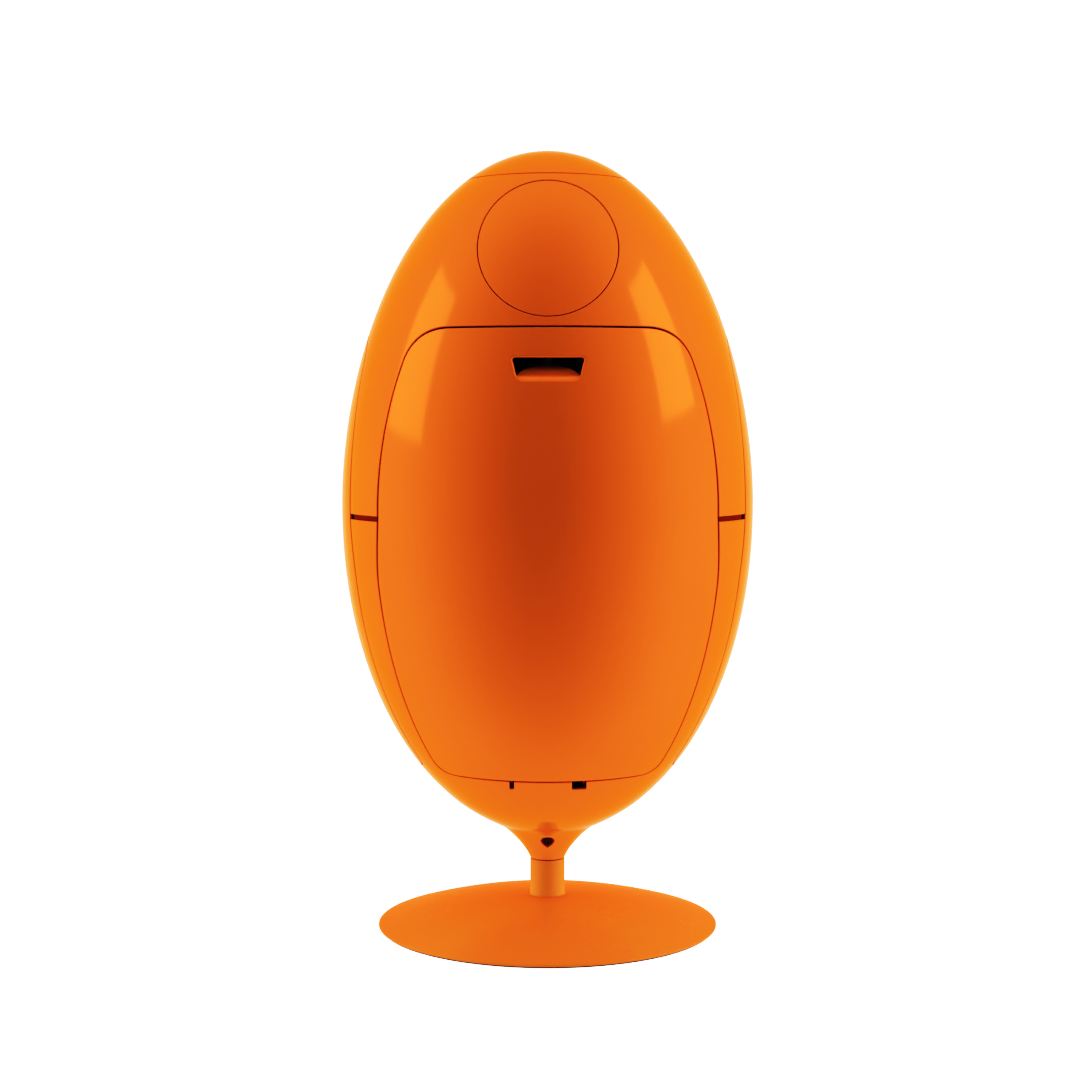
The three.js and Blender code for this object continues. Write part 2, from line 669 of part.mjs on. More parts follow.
function pressGuide() {
  const deckTop = DECK_Z + DECK_T;
  const flange = tube(ROD_R + 0.4, 26, deckTop + 0.2, GUIDE_TOP_Z, 24);
  return flange.add(tube(ROD_R + 0.4, PRESS_BUSH_R, DECK_Z - 34, deckTop + 1, 24));
}

// ---------------------------------------------------------------- assembly

function place(group, name, made, material) {
  const mesh = new THREE.Mesh(geometryOf(made), material);
  mesh.name = name;
  group.add(mesh);
}

const bin = new THREE.Group();

const base = new THREE.Group();
place(base, "base_disc", baseDisc(), PAINTED_ORANGE);
place(base, "base_pad_ring", basePad(), BLACK_RUBBER);
place(base, "post_tube", post(), PAINTED_ORANGE);
place(base, "post_spigot", spigot(), STEEL);
place(base, "post_washer", postWasher(), STEEL);
place(base, "post_bolt", postBolt(), STEEL);
place(base, "thrust_washer", thrustWasher(), BLACK_NYLON);
bin.add(base);

const egg = new THREE.Group();
place(egg, "lower_shell", lowerShell(), GLOSS_ORANGE);
place(egg, "upper_shell", upperShell(), GLOSS_ORANGE);
place(egg, "swivel_bush", swivelBush(), BLACK_NYLON);
place(egg, "neck_screw", neckScrew(), STEEL);
place(egg, "floor_tray", floorTray(), GREY_PLASTIC);
place(egg, "centre_column", centreColumn(), PALE_PLASTIC);
place(egg, "press_anvil", pressAnvil(), GREY_PLASTIC);
place(egg, "press_chamber", pressChamber(), PALE_PLASTIC);
place(egg, "press_guide", pressGuide(), BLACK_NYLON);
place(egg, "press_cap", pressCap(), GLOSS_ORANGE);
place(egg, "press_rod", pressRod(), STEEL);
place(egg, "press_plate", pressPlate(), STEEL);
bin.add(egg);

const SECTOR_PIECES = [
  ["door", door(), GLOSS_ORANGE],
  ["catch_plate", catchPlate(), STEEL],
  ["catch_magnet", catchMagnet(), GREY_PLASTIC],
  ["flap", flap(), GLOSS_ORANGE],
  ["flap_pin", flapPin(), STEEL],
  ["flap_spring", flapSpring(), STEEL],
  ["bag_ring", bagRing(), GREY_PLASTIC],
  ["partition", partition(), PALE_PLASTIC],
  ["rib_rail", ribRail(), GLOSS_ORANGE],
];

for (const [sector, angle] of SECTORS) {
  const group = new THREE.Group();
  group.rotation.z = radians(angle);
  for (const [piece, made, material] of SECTOR_PIECES) place(group, `${piece}_${sector}`, made, material);
  egg.add(group);
}

export default bin;
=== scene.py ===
import math

import bmesh
import bpy
import numpy as np
from mathutils import Matrix, Vector
from mathutils.geometry import delaunay_2d_cdt
from mathutils.kdtree import KDTree


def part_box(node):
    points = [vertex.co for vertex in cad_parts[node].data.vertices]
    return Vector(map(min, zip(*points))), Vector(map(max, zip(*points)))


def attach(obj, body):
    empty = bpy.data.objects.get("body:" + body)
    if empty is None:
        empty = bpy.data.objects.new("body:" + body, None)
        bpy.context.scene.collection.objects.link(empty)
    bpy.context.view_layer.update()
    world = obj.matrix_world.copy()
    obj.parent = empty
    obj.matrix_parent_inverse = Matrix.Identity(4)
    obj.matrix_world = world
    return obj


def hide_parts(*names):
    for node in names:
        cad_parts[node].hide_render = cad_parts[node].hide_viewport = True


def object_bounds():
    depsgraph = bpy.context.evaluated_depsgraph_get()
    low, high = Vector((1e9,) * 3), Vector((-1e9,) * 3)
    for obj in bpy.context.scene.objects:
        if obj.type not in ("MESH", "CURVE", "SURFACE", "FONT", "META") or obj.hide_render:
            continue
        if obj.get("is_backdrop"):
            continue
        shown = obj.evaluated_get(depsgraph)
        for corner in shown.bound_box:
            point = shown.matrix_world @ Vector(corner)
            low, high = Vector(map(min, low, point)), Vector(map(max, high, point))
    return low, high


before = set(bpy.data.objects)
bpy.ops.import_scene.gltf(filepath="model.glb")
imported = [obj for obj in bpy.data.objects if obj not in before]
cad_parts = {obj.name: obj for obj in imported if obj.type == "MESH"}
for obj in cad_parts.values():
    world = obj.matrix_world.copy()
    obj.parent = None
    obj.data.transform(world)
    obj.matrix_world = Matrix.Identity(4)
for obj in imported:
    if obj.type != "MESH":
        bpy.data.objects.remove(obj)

# Looks of the egg-shaped recycling bin. Shapes are worked out in millimetres, in the CAD frame, and
# go into metres when a mesh is made. One sector faces -Y and its copies are turned 120 degrees.

CAD_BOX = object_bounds()
MM = 0.001


def low(node):
    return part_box(node)[0] / MM


def high(node):
    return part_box(node)[1] / MM


# ---- dimensions, mm

SECTORS = [("front", 0), ("right", 120), ("left", -120)]
RIB_AZIMUTH = 60
WALL = 2.6
EGG_R = CAD_BOX[1].x / MM
TOP_Z = high("press_cap").z
NECK_Z = low("lower_shell").z
SLOT_LOW_Z = high("lower_shell").z
SLOT_HIGH_Z = low("upper_shell").z
SLOT_Z = (SLOT_LOW_Z + SLOT_HIGH_Z) / 2
EQUATOR_Z = 520
LOWER_H = 403
UPPER_POWER = 1.9
LOWER_POWER = 2.07
NECK_R = 21
FLARE_TOP_Z = 175
WAIST = (58, 126.1)
FOOT_HANDLES = [(31.8, 107.3), (56.2, 125.3)]
FLARE_HANDLES = [(99.5, 144.9), (117.4, 161.8)]

DOOR_TOP_Z = 727
DOOR_BOTTOM_Z = 205
DOOR_EDGE_Y = 156
DOOR_LOW_AZIMUTH = 53
DOOR_BLEND_H = 90
GAP = {"side": 0.9, "slot_extra": 0.9, "slot_reach": 95, "head": 2.2, "foot": 1.3}
LOW_EYE_Z, HIGH_EYE_Z = 300, 600  # the shells' edges are put in order by angle round these
NOTCHES = [(-44.6, -39.4), (28, 44.7)]
HOOKS_X = [-42, 42]
NOTCH_FLOOR_Z = 194.3
HANDLE = {"top": 692.5, "bottom": 667.5, "top_half": 42, "bottom_half": 33, "corner": 6}

FLAP_Z = (low("flap_front").z + high("flap_front").z) / 2
FLAP_R = (high("flap_front").z - low("flap_front").z) / 2
PORTHOLE_R = FLAP_R + 1
PIN_Y = (low("flap_pin_front").y + high("flap_pin_front").y) / 2
PIN_Z = (low("flap_pin_front").z + high("flap_pin_front").z) / 2
CAP_EDGE_Z = 909.45
SHELL_HEAD_Z = 908.55
DECK_Z = 902.4
DECK_T = 2.8
SCREW_Z = (low("neck_screw").z + high("neck_screw").z) / 2

MESH_STEP = 9
EDGE_STEP = 2.4

# ---- the egg's surface


def bezier(points, count):
    t = np.linspace(0, 1, count)[:, None]
    a, b, c, d = (np.array(p, float) for p in points)
    return (1 - t) ** 3 * a + 3 * (1 - t) ** 2 * t * b + 3 * (1 - t) * t * t * c + t**3 * d


def curve_radius(z):
    """Radius of the egg's two main curves, above the flare."""
    z = np.asarray(z, float)
    share = np.abs(z - EQUATOR_Z) / np.where(z > EQUATOR_Z, TOP_Z - EQUATOR_Z, LOWER_H)
    power = np.where(z > EQUATOR_Z, UPPER_POWER, LOWER_POWER)
    return EGG_R * np.sqrt(np.clip(1 - share**power, 0, None))


def profile_table():
    """Arc length from the neck, radius, height and the outward normal, all along the profile."""
    flare_top = (float(curve_radius(FLARE_TOP_Z)), FLARE_TOP_Z)
    foot = bezier([(NECK_R, NECK_Z), *FOOT_HANDLES, WAIST], 300)
    flare = bezier([WAIST, *FLARE_HANDLES, flare_top], 300)
    lowest = math.asin((EQUATOR_Z - FLARE_TOP_Z) / LOWER_H)
    under = EQUATOR_Z - LOWER_H * np.sin(np.linspace(lowest, 0, 900))
    over = EQUATOR_Z + (TOP_Z - EQUATOR_Z) * np.sin(np.linspace(0, math.pi / 2, 1400))
    heights = np.concatenate([under[1:], over[1:]])
    upper = np.stack([curve_radius(heights), heights], 1)
    points = np.concatenate([foot[:-1], flare, upper])
    points[-1, 0] = 0
    length = np.concatenate([[0], np.cumsum(np.hypot(*np.diff(points, axis=0).T))])
    even = np.linspace(0, length[-1], 5200)
    r, z = np.interp(even, length, points[:, 0]), np.interp(even, length, points[:, 1])
    dr, dz = np.gradient(r, even), np.gradient(z, even)
    size = np.hypot(dr, dz)
    return even, r, z, dz / size, -dr / size


S, R, Z, NR, NZ = profile_table()
POLE_S = S[-1]


def full_turn(count):
    return np.linspace(0, 2 * math.pi, count, endpoint=False)


def unit_rows(vectors):
    return vectors / np.linalg.norm(vectors, axis=1)[:, None]


def azimuth_of(points):
    return np.arctan2(points[:, 0], -points[:, 1])


def s_of(z):
    return np.interp(z, Z, S)


def radius_at(z):
    return np.interp(z, Z, R)


def surface(s, azimuth):
    """Points on the egg and their outward normals."""
    r, z, nr, nz = (np.interp(s, S, table) for table in (R, Z, NR, NZ))
    sin, cos = np.sin(azimuth), np.cos(azimuth)
    return np.stack([r * sin, -r * cos, z], 1), np.stack([nr * sin, -nr * cos, nz], 1)


def snapped(points):
    """The points moved onto the egg, each at its own height and azimuth."""
    return surface(s_of(points[:, 2]), azimuth_of(points))


def on_front(x, z):
    """Points of the egg seen from the front at (x, z)."""
    x, z = np.asarray(x, float), np.asarray(z, float)
    return np.stack([x, -np.sqrt(radius_at(z) ** 2 - x * x), z], 1)


def turned(points, degrees):
    a = math.radians(degrees)
    matrix = np.array([[math.cos(a), -math.sin(a), 0], [math.sin(a), math.cos(a), 0], [0, 0, 1]])
    return np.asarray(points) @ matrix.T


# ---- outlines on the egg


def smoothstep(x, a, b):
    t = np.clip((x - a) / (b - a), 0, 1)
    return t * t * (3 - 2 * t)


def door_half_width(z):
    z = np.asarray(z, float)
    r = radius_at(z)
    over = np.sqrt(np.clip(r * r - DOOR_EDGE_Y**2, 0, None))
    below = smoothstep(EQUATOR_Z - z, 0, DOOR_BLEND_H)
    middle = math.acos(DOOR_EDGE_Y / EGG_R)
    azimuth = middle * (1 - below) + math.radians(DOOR_LOW_AZIMUTH) * below
    return np.where(z >= EQUATOR_Z, over, r * np.sin(azimuth))


def quadratic(a, b, c, count):
    t = np.linspace(0, 1, count)[:, None]
    a, b, c = (np.array(p, float) for p in (a, b, c))
    return (1 - t) ** 2 * a + 2 * (1 - t) * t * b + t * t * c


def mirrored(right):
    """A closed outline from its right half."""
    return np.concatenate([right, right[1:-1][::-1] * [-1, 1]])


def level_line(x0, x1, z, count):
    return np.stack([np.linspace(x0, x1, count), np.full(count, z)], 1)


def door_seam():
    """The seam round a door as (x, z) points, anticlockwise from the middle of its foot."""
    foot_run, foot_rise, head_run, head_rise = 20, 17, 38, 34
    bottom_x, top_x = (float(door_half_width(z)) for z in (DOOR_BOTTOM_Z, DOOR_TOP_Z))
    heights = np.linspace(DOOR_BOTTOM_Z + foot_rise, DOOR_TOP_Z - head_rise, 190)
    side = np.stack([door_half_width(heights), heights], 1)
    foot = level_line(0, bottom_x - foot_run, DOOR_BOTTOM_Z, 44)
    corner = quadratic(foot[-1], (bottom_x, DOOR_BOTTOM_Z), side[0], 14)
    shoulder = quadratic(side[-1], (top_x, DOOR_TOP_Z), (top_x - head_run, DOOR_TOP_Z), 24)
    head = level_line(top_x - head_run, 0, DOOR_TOP_Z, 44)
    return mirrored(np.concatenate([foot, corner[1:], side[1:], shoulder[1:], head[1:]]))


def door_outline(share):
    """The seam moved outwards by a share of the gap: 0.5 is the opening's edge, -0.5 the door's."""
    seam = door_seam()
    step = np.roll(seam, -1, 0) - np.roll(seam, 1, 0)
    normal = np.stack([step[:, 1], -step[:, 0]], 1) / np.hypot(*step.T)[:, None]
    near_slot = np.exp(-(((seam[:, 1] - SLOT_Z) / GAP["slot_reach"]) ** 2))
    side = GAP["side"] + GAP["slot_extra"] * near_slot
    ends = np.where(normal[:, 1] > 0, GAP["head"], GAP["foot"])
    gap = side + (ends - side) * normal[:, 1] ** 2
    return seam + normal * (share * gap)[:, None]


def circle(radius, count, x=0, z=0):
    a = full_turn(count)
    return np.stack([x + radius * np.cos(a), z + radius * np.sin(a)], 1)


def handle_outline():
    top, bottom, corner = HANDLE["top"], HANDLE["bottom"], HANDLE["corner"]
    wide, narrow = HANDLE["top_half"], HANDLE["bottom_half"]
    foot = level_line(0, narrow - corner, bottom, 12)
    low_corner = quadratic(foot[-1], (narrow, bottom), (narrow + corner / 2, bottom + corner), 9)
    high_corner = quadratic((wide - corner / 2, top - corner), (wide, top), (wide - corner, top), 9)
    side = low_corner[-1] + (high_corner[0] - low_corner[-1]) * np.linspace(0, 1, 9)[:, None]
    head = level_line(wide - corner, 0, top, 16)
    return mirrored(np.concatenate([foot, low_corner[1:], side[1:], high_corner[1:], head[1:]]))


def recess_outline():
    """Guitar-pick opening in the neck."""
    half, rise, drop, shoulder = 8.5, 8.4, 7.4, 1.8
    foot, side = (0, SCREW_Z - drop), (half, SCREW_Z + shoulder)
    rising = quadratic(foot, (0.82 * half, SCREW_Z - drop / 2), side, 12)
    over = quadratic(side, (0.95 * half, SCREW_Z + rise), (0, SCREW_Z + rise), 12)
    return mirrored(np.concatenate([rising, over[1:]]))


# ---- loops of 3-D points


def divided(loop, step=EDGE_STEP):
    """A closed loop with its long edges divided."""
    parts = []
    for a, b in zip(loop, np.roll(loop, -1, 0)):
        count = max(1, math.ceil(np.linalg.norm(b - a) / step))
        parts.append(a + (b - a) * (np.arange(count) / count)[:, None])
    return np.concatenate(parts)


def softened(loop, reach, sharp=35):
    """A closed loop whose sharp corners are rounded off."""
    out = []
    before, after = np.roll(loop, 1, 0) - loop, np.roll(loop, -1, 0) - loop
    for p, a, b in zip(loop, before, after):
        la, lb = np.linalg.norm(a), np.linalg.norm(b)
        turn = math.degrees(math.acos(max(-1, min(1, -float(a @ b) / (la * lb)))))
        if turn < sharp:
            out.append(p[None])
            continue
        cut = min(reach, 0.45 * la, 0.45 * lb)
        out.append(quadratic(p + a / la * cut, p, p + b / lb * cut, 5))
    return np.concatenate(out)


def front_loop(outline):
    return snapped(divided(on_front(*outline.T)))[0]


def ring_loop(z, count):
    return surface(np.full(count, s_of(z)), full_turn(count))[0]


def shell_loop(lower):
    """Edge of the lower shell's top, or of the upper shell's bottom, round all three sectors."""
    outline = door_outline(0.5)
    x, z = outline.T
    if lower:
        cut_z, kept, order = SLOT_LOW_Z, z < SLOT_LOW_Z - 1, np.arctan2(x, HIGH_EYE_Z - z)
    else:
        cut_z, kept, order = SLOT_HIGH_Z, z > SLOT_HIGH_Z + 1, np.arctan2(x, z - LOW_EYE_Z)
    part = outline[kept][np.argsort(order[kept])]
    if lower:
        part = with_notches(part)
    end = float(door_opening_half(cut_z))
    part = np.concatenate([[[-end, cut_z]], part, [[end, cut_z]]])
    loop = on_front(*part.T)
    azimuth = math.atan2(end, -loop[-1][1])
    rib = np.linspace(azimuth, math.radians(120) - azimuth, 24)[1:-1]
    across = surface(np.full(len(rib), s_of(cut_z)), rib)[0]
    sector = np.concatenate([loop, across])
    whole = np.concatenate([turned(sector, angle) for angle in (0, 120, 240)])
    return snapped(divided(softened(whole, 1.6)))[0]


def door_opening_half(z):
    outline = door_outline(0.5)
    right = outline[(outline[:, 0] > 0) & (outline[:, 1] > 300) & (outline[:, 1] < 650)]
    return np.interp(z, right[:, 1], right[:, 0])


def with_notches(part):
    """The lower rim with the hooks' notches cut into it."""
    rim_z = part[:, 1].min()
    straight = np.abs(part[:, 1] - rim_z) < 0.01
    limit = part[straight][:, 0].max()
    left, right = part[~straight & (part[:, 0] < 0)], part[~straight & (part[:, 0] > 0)]
    middle = [(-limit, rim_z)]
    for x0, x1 in NOTCHES:
        middle += [(x0, rim_z), (x0, NOTCH_FLOOR_Z), (x1, NOTCH_FLOOR_Z), (x1, rim_z)]
    middle.append((limit, rim_z))
    return np.concatenate([left, middle, right])


# ---- domains for triangulating


def front_domain(points):
    return points[:, [0, 2]]


def polar(rho, azimuth):
    return np.stack([rho * np.sin(azimuth), rho * np.cos(azimuth)], 1)


def pole_domain(points):
    return polar(POLE_S - s_of(points[:, 2]), azimuth_of(points))


def neck_domain(points):
    return polar(s_of(points[:, 2]) + NECK_R, azimuth_of(points))


def inside(points, loops):
    """Even-odd test of 2-D points against closed loops."""
    odd = np.zeros(len(points), bool)
    x, y = points.T
    for loop in loops:
        for (x0, y0), (x1, y1) in zip(loop, np.roll(loop, -1, 0)):
            if y0 == y1:
                continue
            crosses = (y0 > y) != (y1 > y)
            odd ^= crosses & (x < (x1 - x0) * (y - y0) / (y1 - y0) + x0)
    return odd


# ---- edges of a moulded wall


def moulded_edge(wall=WALL, fillet=0.9, chamfer=0.35, steps=4):
    """Section of an edge as (inset, depth, share of the outward tangent, share of the normal)."""
    drop = min(fillet, wall - chamfer - 0.15)
    rows = []
    for k in range(steps + 1):
        a = math.pi / 2 * k / steps
        out, up = math.sin(a), math.cos(a)
        rows.append((fillet * (1 - out), drop * (1 - up), out / fillet, up / drop))
    rows.append((0, wall - chamfer, 1, 0))
    rows.append((chamfer, wall, 0, -1))
    if fillet > chamfer + 0.1:
        rows.append((fillet, wall, 0, -1))
    return rows


def rebated_edge():
    """A porthole's edge, thinned from inside so that the flap's rim can swing past."""
    half = WALL / 2
    step = [
        (3.0, half, 0, -1), (3.2, half + 0.2, 1, 0), (3.2, WALL - 0.2, 1, 0), (3.4, WALL, 0, -1),
    ]
    return moulded_edge(half, 0.7, 0.2)[:-1] + step


def loop_frame(loop, domain, flat_loops):
    """Normals, tangents into the material and mitre factors along a loop."""
    _, normal = snapped(loop)
    ahead = unit_rows(np.roll(loop, -1, 0) - loop)
    behind = np.roll(ahead, 1, 0)
    side_a, side_b = np.cross(normal, ahead), np.cross(normal, behind)
    tangent = unit_rows(side_a + side_b)
    cosine = np.clip(np.einsum("ij,ij->i", tangent, unit_rows(side_a)), 0.7, 1)
    within = inside(domain(loop + tangent * 0.4), flat_loops).mean() > 0.5
    return normal, tangent if within else -tangent, 1 / cosine


def shell(loops, domain, step=MESH_STEP, wall=WALL, sink=0.0, thin=np.ones_like):
    """A wall of the egg between closed loops, each given with its edge section.

    Returns vertices, normals and faces. sink moves the whole wall inwards, and thin(s) gives a
    share of the wall's thickness at an arc length."""
    flat = [domain(loop) for loop, _ in loops]
    vertices, normals, faces = [], [], []
    outer_rings, outer_points, inner_rings = [], [], []
    count = 0
    for loop, section in loops:
        normal, tangent, miter = loop_frame(loop, domain, flat)
        share = thin(s_of(loop[:, 2]))
        rings = []
        for inset, depth, out, up in section:
            move = tangent * (inset * miter)[:, None] - normal * (depth * share + sink)[:, None]
            vertices.append(loop + move)
            normals.append(unit_rows(normal * up - tangent * out))
            rings.append(np.arange(count, count + len(loop)))
            count += len(loop)
        for a, b in zip(rings, rings[1:]):
            faces += np.stack([a, np.roll(a, -1), np.roll(b, -1), b], 1).tolist()
        outer_rings.append(rings[0])
        outer_points.append(loop + tangent * (section[0][0] * miter)[:, None])
        inner_rings.append(rings[-1])
    ring_flat = [domain(points) for points in outer_points]
    fill = interior_points(np.concatenate(outer_points), ring_flat, domain, step)
    points, facing = snapped(fill)
    share = thin(s_of(fill[:, 2]))
    outer_fill = np.arange(count, count + len(fill))
    vertices += [points - facing * sink, points - facing * (wall * share + sink)[:, None]]
    normals += [facing, -facing]
    outer_index = np.concatenate([*outer_rings, outer_fill])
    inner_index = np.concatenate([*inner_rings, outer_fill + len(fill)])
    for triangle in triangulated(ring_flat, domain(points)):
        faces += [outer_index[triangle].tolist(), inner_index[triangle].tolist()]
    return faced_out(np.concatenate(vertices), np.concatenate(normals), faces)


def interior_points(ring_points, ring_flat, domain, step):
    s_all = s_of(ring_points[:, 2])
    reaches_pole = domain is pole_domain
    s_values = np.arange(s_all.min(), POLE_S if reaches_pole else s_all.max(), step * 0.866)
    rows = []
    for i, s in enumerate(s_values):
        r = float(np.interp(s, S, R))
        count = max(6, round(2 * math.pi * r / step))
        azimuth = (np.arange(count) + (i % 2) / 2) * 2 * math.pi / count
        if domain is front_domain:
            azimuth = (azimuth + math.pi) % (2 * math.pi) - math.pi
            azimuth = azimuth[np.abs(azimuth) < math.radians(75)]
        rows.append(surface(np.full(len(azimuth), s), azimuth)[0])
    if reaches_pole:
        rows.append(np.array([[0, 0, TOP_Z]]))
    points = np.concatenate(rows)
    points = points[inside(domain(points), ring_flat)]
    tree = KDTree(len(ring_points))
    for i, p in enumerate(ring_points):
        tree.insert(p, i)
    tree.balance()
    clear = [tree.find(p)[2] > 0.62 * step for p in points]
    return points[np.array(clear, bool)]


def triangulated(ring_flat, fill_flat):
    """Triangles over the points of the rings and the fill, as indices into them in that order."""
    points = np.concatenate(ring_flat + [fill_flat])
    edges, start = [], 0
    for ring in ring_flat:
        index = np.arange(start, start + len(ring))
        edges += np.stack([index, np.roll(index, -1)], 1).tolist()
        start += len(ring)
    made = delaunay_2d_cdt([Vector(p) for p in points], edges, [], 0, 1e-7)
    place, origin = np.array([tuple(v) for v in made[0]]), made[3]
    first = [ids[0] if ids else -1 for ids in origin]
    triangles = np.array([t for t in made[2] if len(t) == 3])
    centres = place[triangles].mean(1)
    keep = inside(centres, ring_flat)
    for triangle in triangles[keep]:
        ids = [first[i] for i in triangle]
        if min(ids) >= 0:
            yield ids


def faced_out(vertices, normals, faces):
    """Turns each face to the side its vertices' normals point to."""
    out = []
    for face in faces:
        a, b, c = (vertices[i] for i in face[:3])
        if len(face) == 4:
            facing = np.cross(vertices[face[2]] - a, vertices[face[3]] - b)
        else:
            facing = np.cross(b - a, c - a)
        out.append(face[::-1] if facing @ normals[list(face)].sum(0) < 0 else face)
    return vertices, normals, out


# ---- meshes


def new_piece(name, vertices, faces, body, slot, replaces=(), normals=None, look=None):
    mesh = bpy.data.meshes.new(name)
    mesh.from_pydata((np.asarray(vertices) * MM).tolist(), [], [list(map(int, f)) for f in faces])
    mesh.validate()
    mesh.update()
    mesh.polygons.foreach_set("use_smooth", [True] * len(mesh.polygons))
    piece = bpy.data.objects.new(name, mesh)
    bpy.context.scene.collection.objects.link(piece)
    if normals is not None:
        mesh.normals_split_custom_set_from_vertices([tuple(n) for n in normals])
    mesh.materials.append(MATERIALS[look or slot])
    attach(piece, body)
    if replaces:
        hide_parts(*replaces)
    return piece


def add_weighted_normals(piece):
    modifier = piece.modifiers.new("face_weighted_normals", "WEIGHTED_NORMAL")
    modifier.mode = "FACE_AREA"
    modifier.weight = 60


def add_bevel(piece, width, segments=2, angle=40):
    modifier = piece.modifiers.new("rounded_edges", "BEVEL")
    modifier.width = width * MM
    modifier.segments = segments
    modifier.limit_method = "ANGLE"
    modifier.angle_limit = math.radians(angle)
    modifier.harden_normals = False


def joined_rings(rings):
    """Vertices and faces of closed rings, each joined to the next and the last to the first."""
    count, faces = len(rings[0]), []
    for k in range(len(rings)):
        faces += ring_quads(k * count, (k + 1) % len(rings) * count, count)
    return np.concatenate(rings), faces


def ring_quads(a, b, count):
    """Quads between two closed rings whose vertices start at a and b."""
    return [[a + i, a + (i + 1) % count, b + (i + 1) % count, b + i] for i in range(count)]


def outward(vertices, faces):
    """Faces of a closed mesh turned outwards."""
    made = bmesh.new()
    points = [made.verts.new(v) for v in vertices]
    for face in faces:
        made.faces.new([points[i] for i in face])
    bmesh.ops.recalc_face_normals(made, faces=made.faces)
    made.verts.index_update()
    out = [[v.index for v in face.verts] for face in made.faces]
    made.free()
    return out


def closed_piece(name, vertices, faces, body, slot, replaces=(), bevel=0, turn=0):
    vertices = turned(vertices, turn)
    faces = outward(vertices, faces)
    piece = new_piece(name, vertices, faces, body, slot, replaces)
    if bevel:
        add_bevel(piece, bevel)
    add_weighted_normals(piece)
    return piece


def rounded(points, radius, steps=4):
    """A closed 2-D outline with rounded corners; a point's third value is a radius of its own."""
    pts = [np.array(p[:2], float) for p in points]
    own = [p[2] if len(p) > 2 else radius for p in points]
    out = []
    for i, p in enumerate(pts):
        a, b = pts[i - 1] - p, pts[(i + 1) % len(pts)] - p
        la, lb = np.linalg.norm(a), np.linalg.norm(b)
        if not own[i] or la < 1e-6 or lb < 1e-6:
            out.append(p)
            continue
        cos = max(-1, min(1, float(a @ b) / (la * lb)))
        half = math.acos(cos) / 2
        if half > math.radians(86):
            out.append(p)
            continue
        reach = min(own[i] / math.tan(half), 0.48 * la, 0.48 * lb)
        r = reach * math.tan(half)
        centre = p + (a / la + b / lb) / np.linalg.norm(a / la + b / lb) * r / math.sin(half)
        start, end = p + a / la * reach - centre, p + b / lb * reach - centre
        a0, a1 = math.atan2(start[1], start[0]), math.atan2(end[1], end[0])
        sweep = (a1 - a0 + math.pi) % (2 * math.pi) - math.pi
        for k in range(steps + 1):
            angle = a0 + sweep * k / steps
            out.append(centre + r * np.array([math.cos(angle), math.sin(angle)]))
    return np.array(out)


def lathe(name, outline, body, slot, replaces=(), radius=0.5, segments=96, move=None, steps=4):
    """Solid of revolution about Z from a closed (r, z) outline; points at r = 0 lie on the axis."""
    profile = rounded([(*p[:2], 0) if p[0] == 0 else p for p in outline], radius, steps)
    angles = full_turn(segments)
    vertices, rows = [], []
    for r, z in profile:
        if r < 1e-6:
            rows.append([len(vertices)] * segments)
            vertices.append((0, 0, z))
        else:
            rows.append(list(range(len(vertices), len(vertices) + segments)))
            vertices += [(r * math.sin(a), -r * math.cos(a), z) for a in angles]
    faces = []
    for a, b in zip(rows, rows[1:] + rows[:1]):
        for i in range(segments):
            j = (i + 1) % segments
            face = list(dict.fromkeys([a[i], a[j], b[j], b[i]]))
            if len(face) > 2:
                faces.append(face)
    vertices = np.array(vertices, float)
    if move is not None:
        vertices = move(vertices)
    return closed_piece(name, vertices, faces, body, slot, replaces)


def prism(name, outline, lo, hi, axis, body, slot, replaces=(), bevel=0.4, turn=0, corner=0):
    """A closed 2-D outline extruded along an axis: x takes (y, z), y (x, z) and z (x, y)."""
    outline = rounded(outline, corner, 3) if corner else np.array([p[:2] for p in outline], float)
    count = len(outline)
    order = {"x": (2, 0, 1), "y": (0, 2, 1), "z": (0, 1, 2)}[axis]
    vertices = []
    for level in (lo, hi):
        row = np.column_stack([outline, np.full(count, level)])
        vertices.append(row[:, order])
    faces = ring_quads(0, count, count)
    faces += [list(range(count)), list(range(count, 2 * count))]
    return closed_piece(name, np.concatenate(vertices), faces, body, slot, replaces, bevel, turn)


def sweep(name, path, radius, body, slot, replaces=(), sides=12):
    """Round wire along a path."""
    path = np.array(path, float)
    along = unit_rows(np.gradient(path, axis=0))
    side = np.cross(along[0], (0.3, 0.2, 0.9))
    vertices = []
    for p, t in zip(path, along):
        side = side - t * (side @ t)
        side /= np.linalg.norm(side)
        up = np.cross(t, side)
        for k in range(sides):
            a = 2 * math.pi * k / sides
            vertices.append(p + radius * (math.cos(a) * side + math.sin(a) * up))
    faces = []
    for i in range(len(path) - 1):
        faces += ring_quads(i * sides, (i + 1) * sides, sides)
    faces += [list(range(sides)), [(len(path) - 1) * sides + k for k in range(sides)]]
    return closed_piece(name, np.array(vertices), faces, body, slot, replaces)


def sheet(name, top, bottom, body, slot, turn=0):
    """Closed plate between two grids of points of the same size."""
    rows, columns = top.shape[:2]
    vertices = np.concatenate([top.reshape(-1, 3), bottom.reshape(-1, 3)])
    index = np.arange(rows * columns).reshape(rows, columns)
    under = index + rows * columns
    faces = []
    for grid in (index, under):
        a, b, c, d = grid[:-1, :-1], grid[:-1, 1:], grid[1:, 1:], grid[1:, :-1]
        faces += np.stack([a, b, c, d], -1).reshape(-1, 4).tolist()
    rim = np.concatenate([index[0], index[1:, -1], index[-1, -2::-1], index[-2:0:-1, 0]])
    low_rim = rim + rows * columns
    faces += np.stack([rim, np.roll(rim, -1), np.roll(low_rim, -1), low_rim], 1).tolist()
    return closed_piece(name, vertices, faces, body, slot, turn=turn)


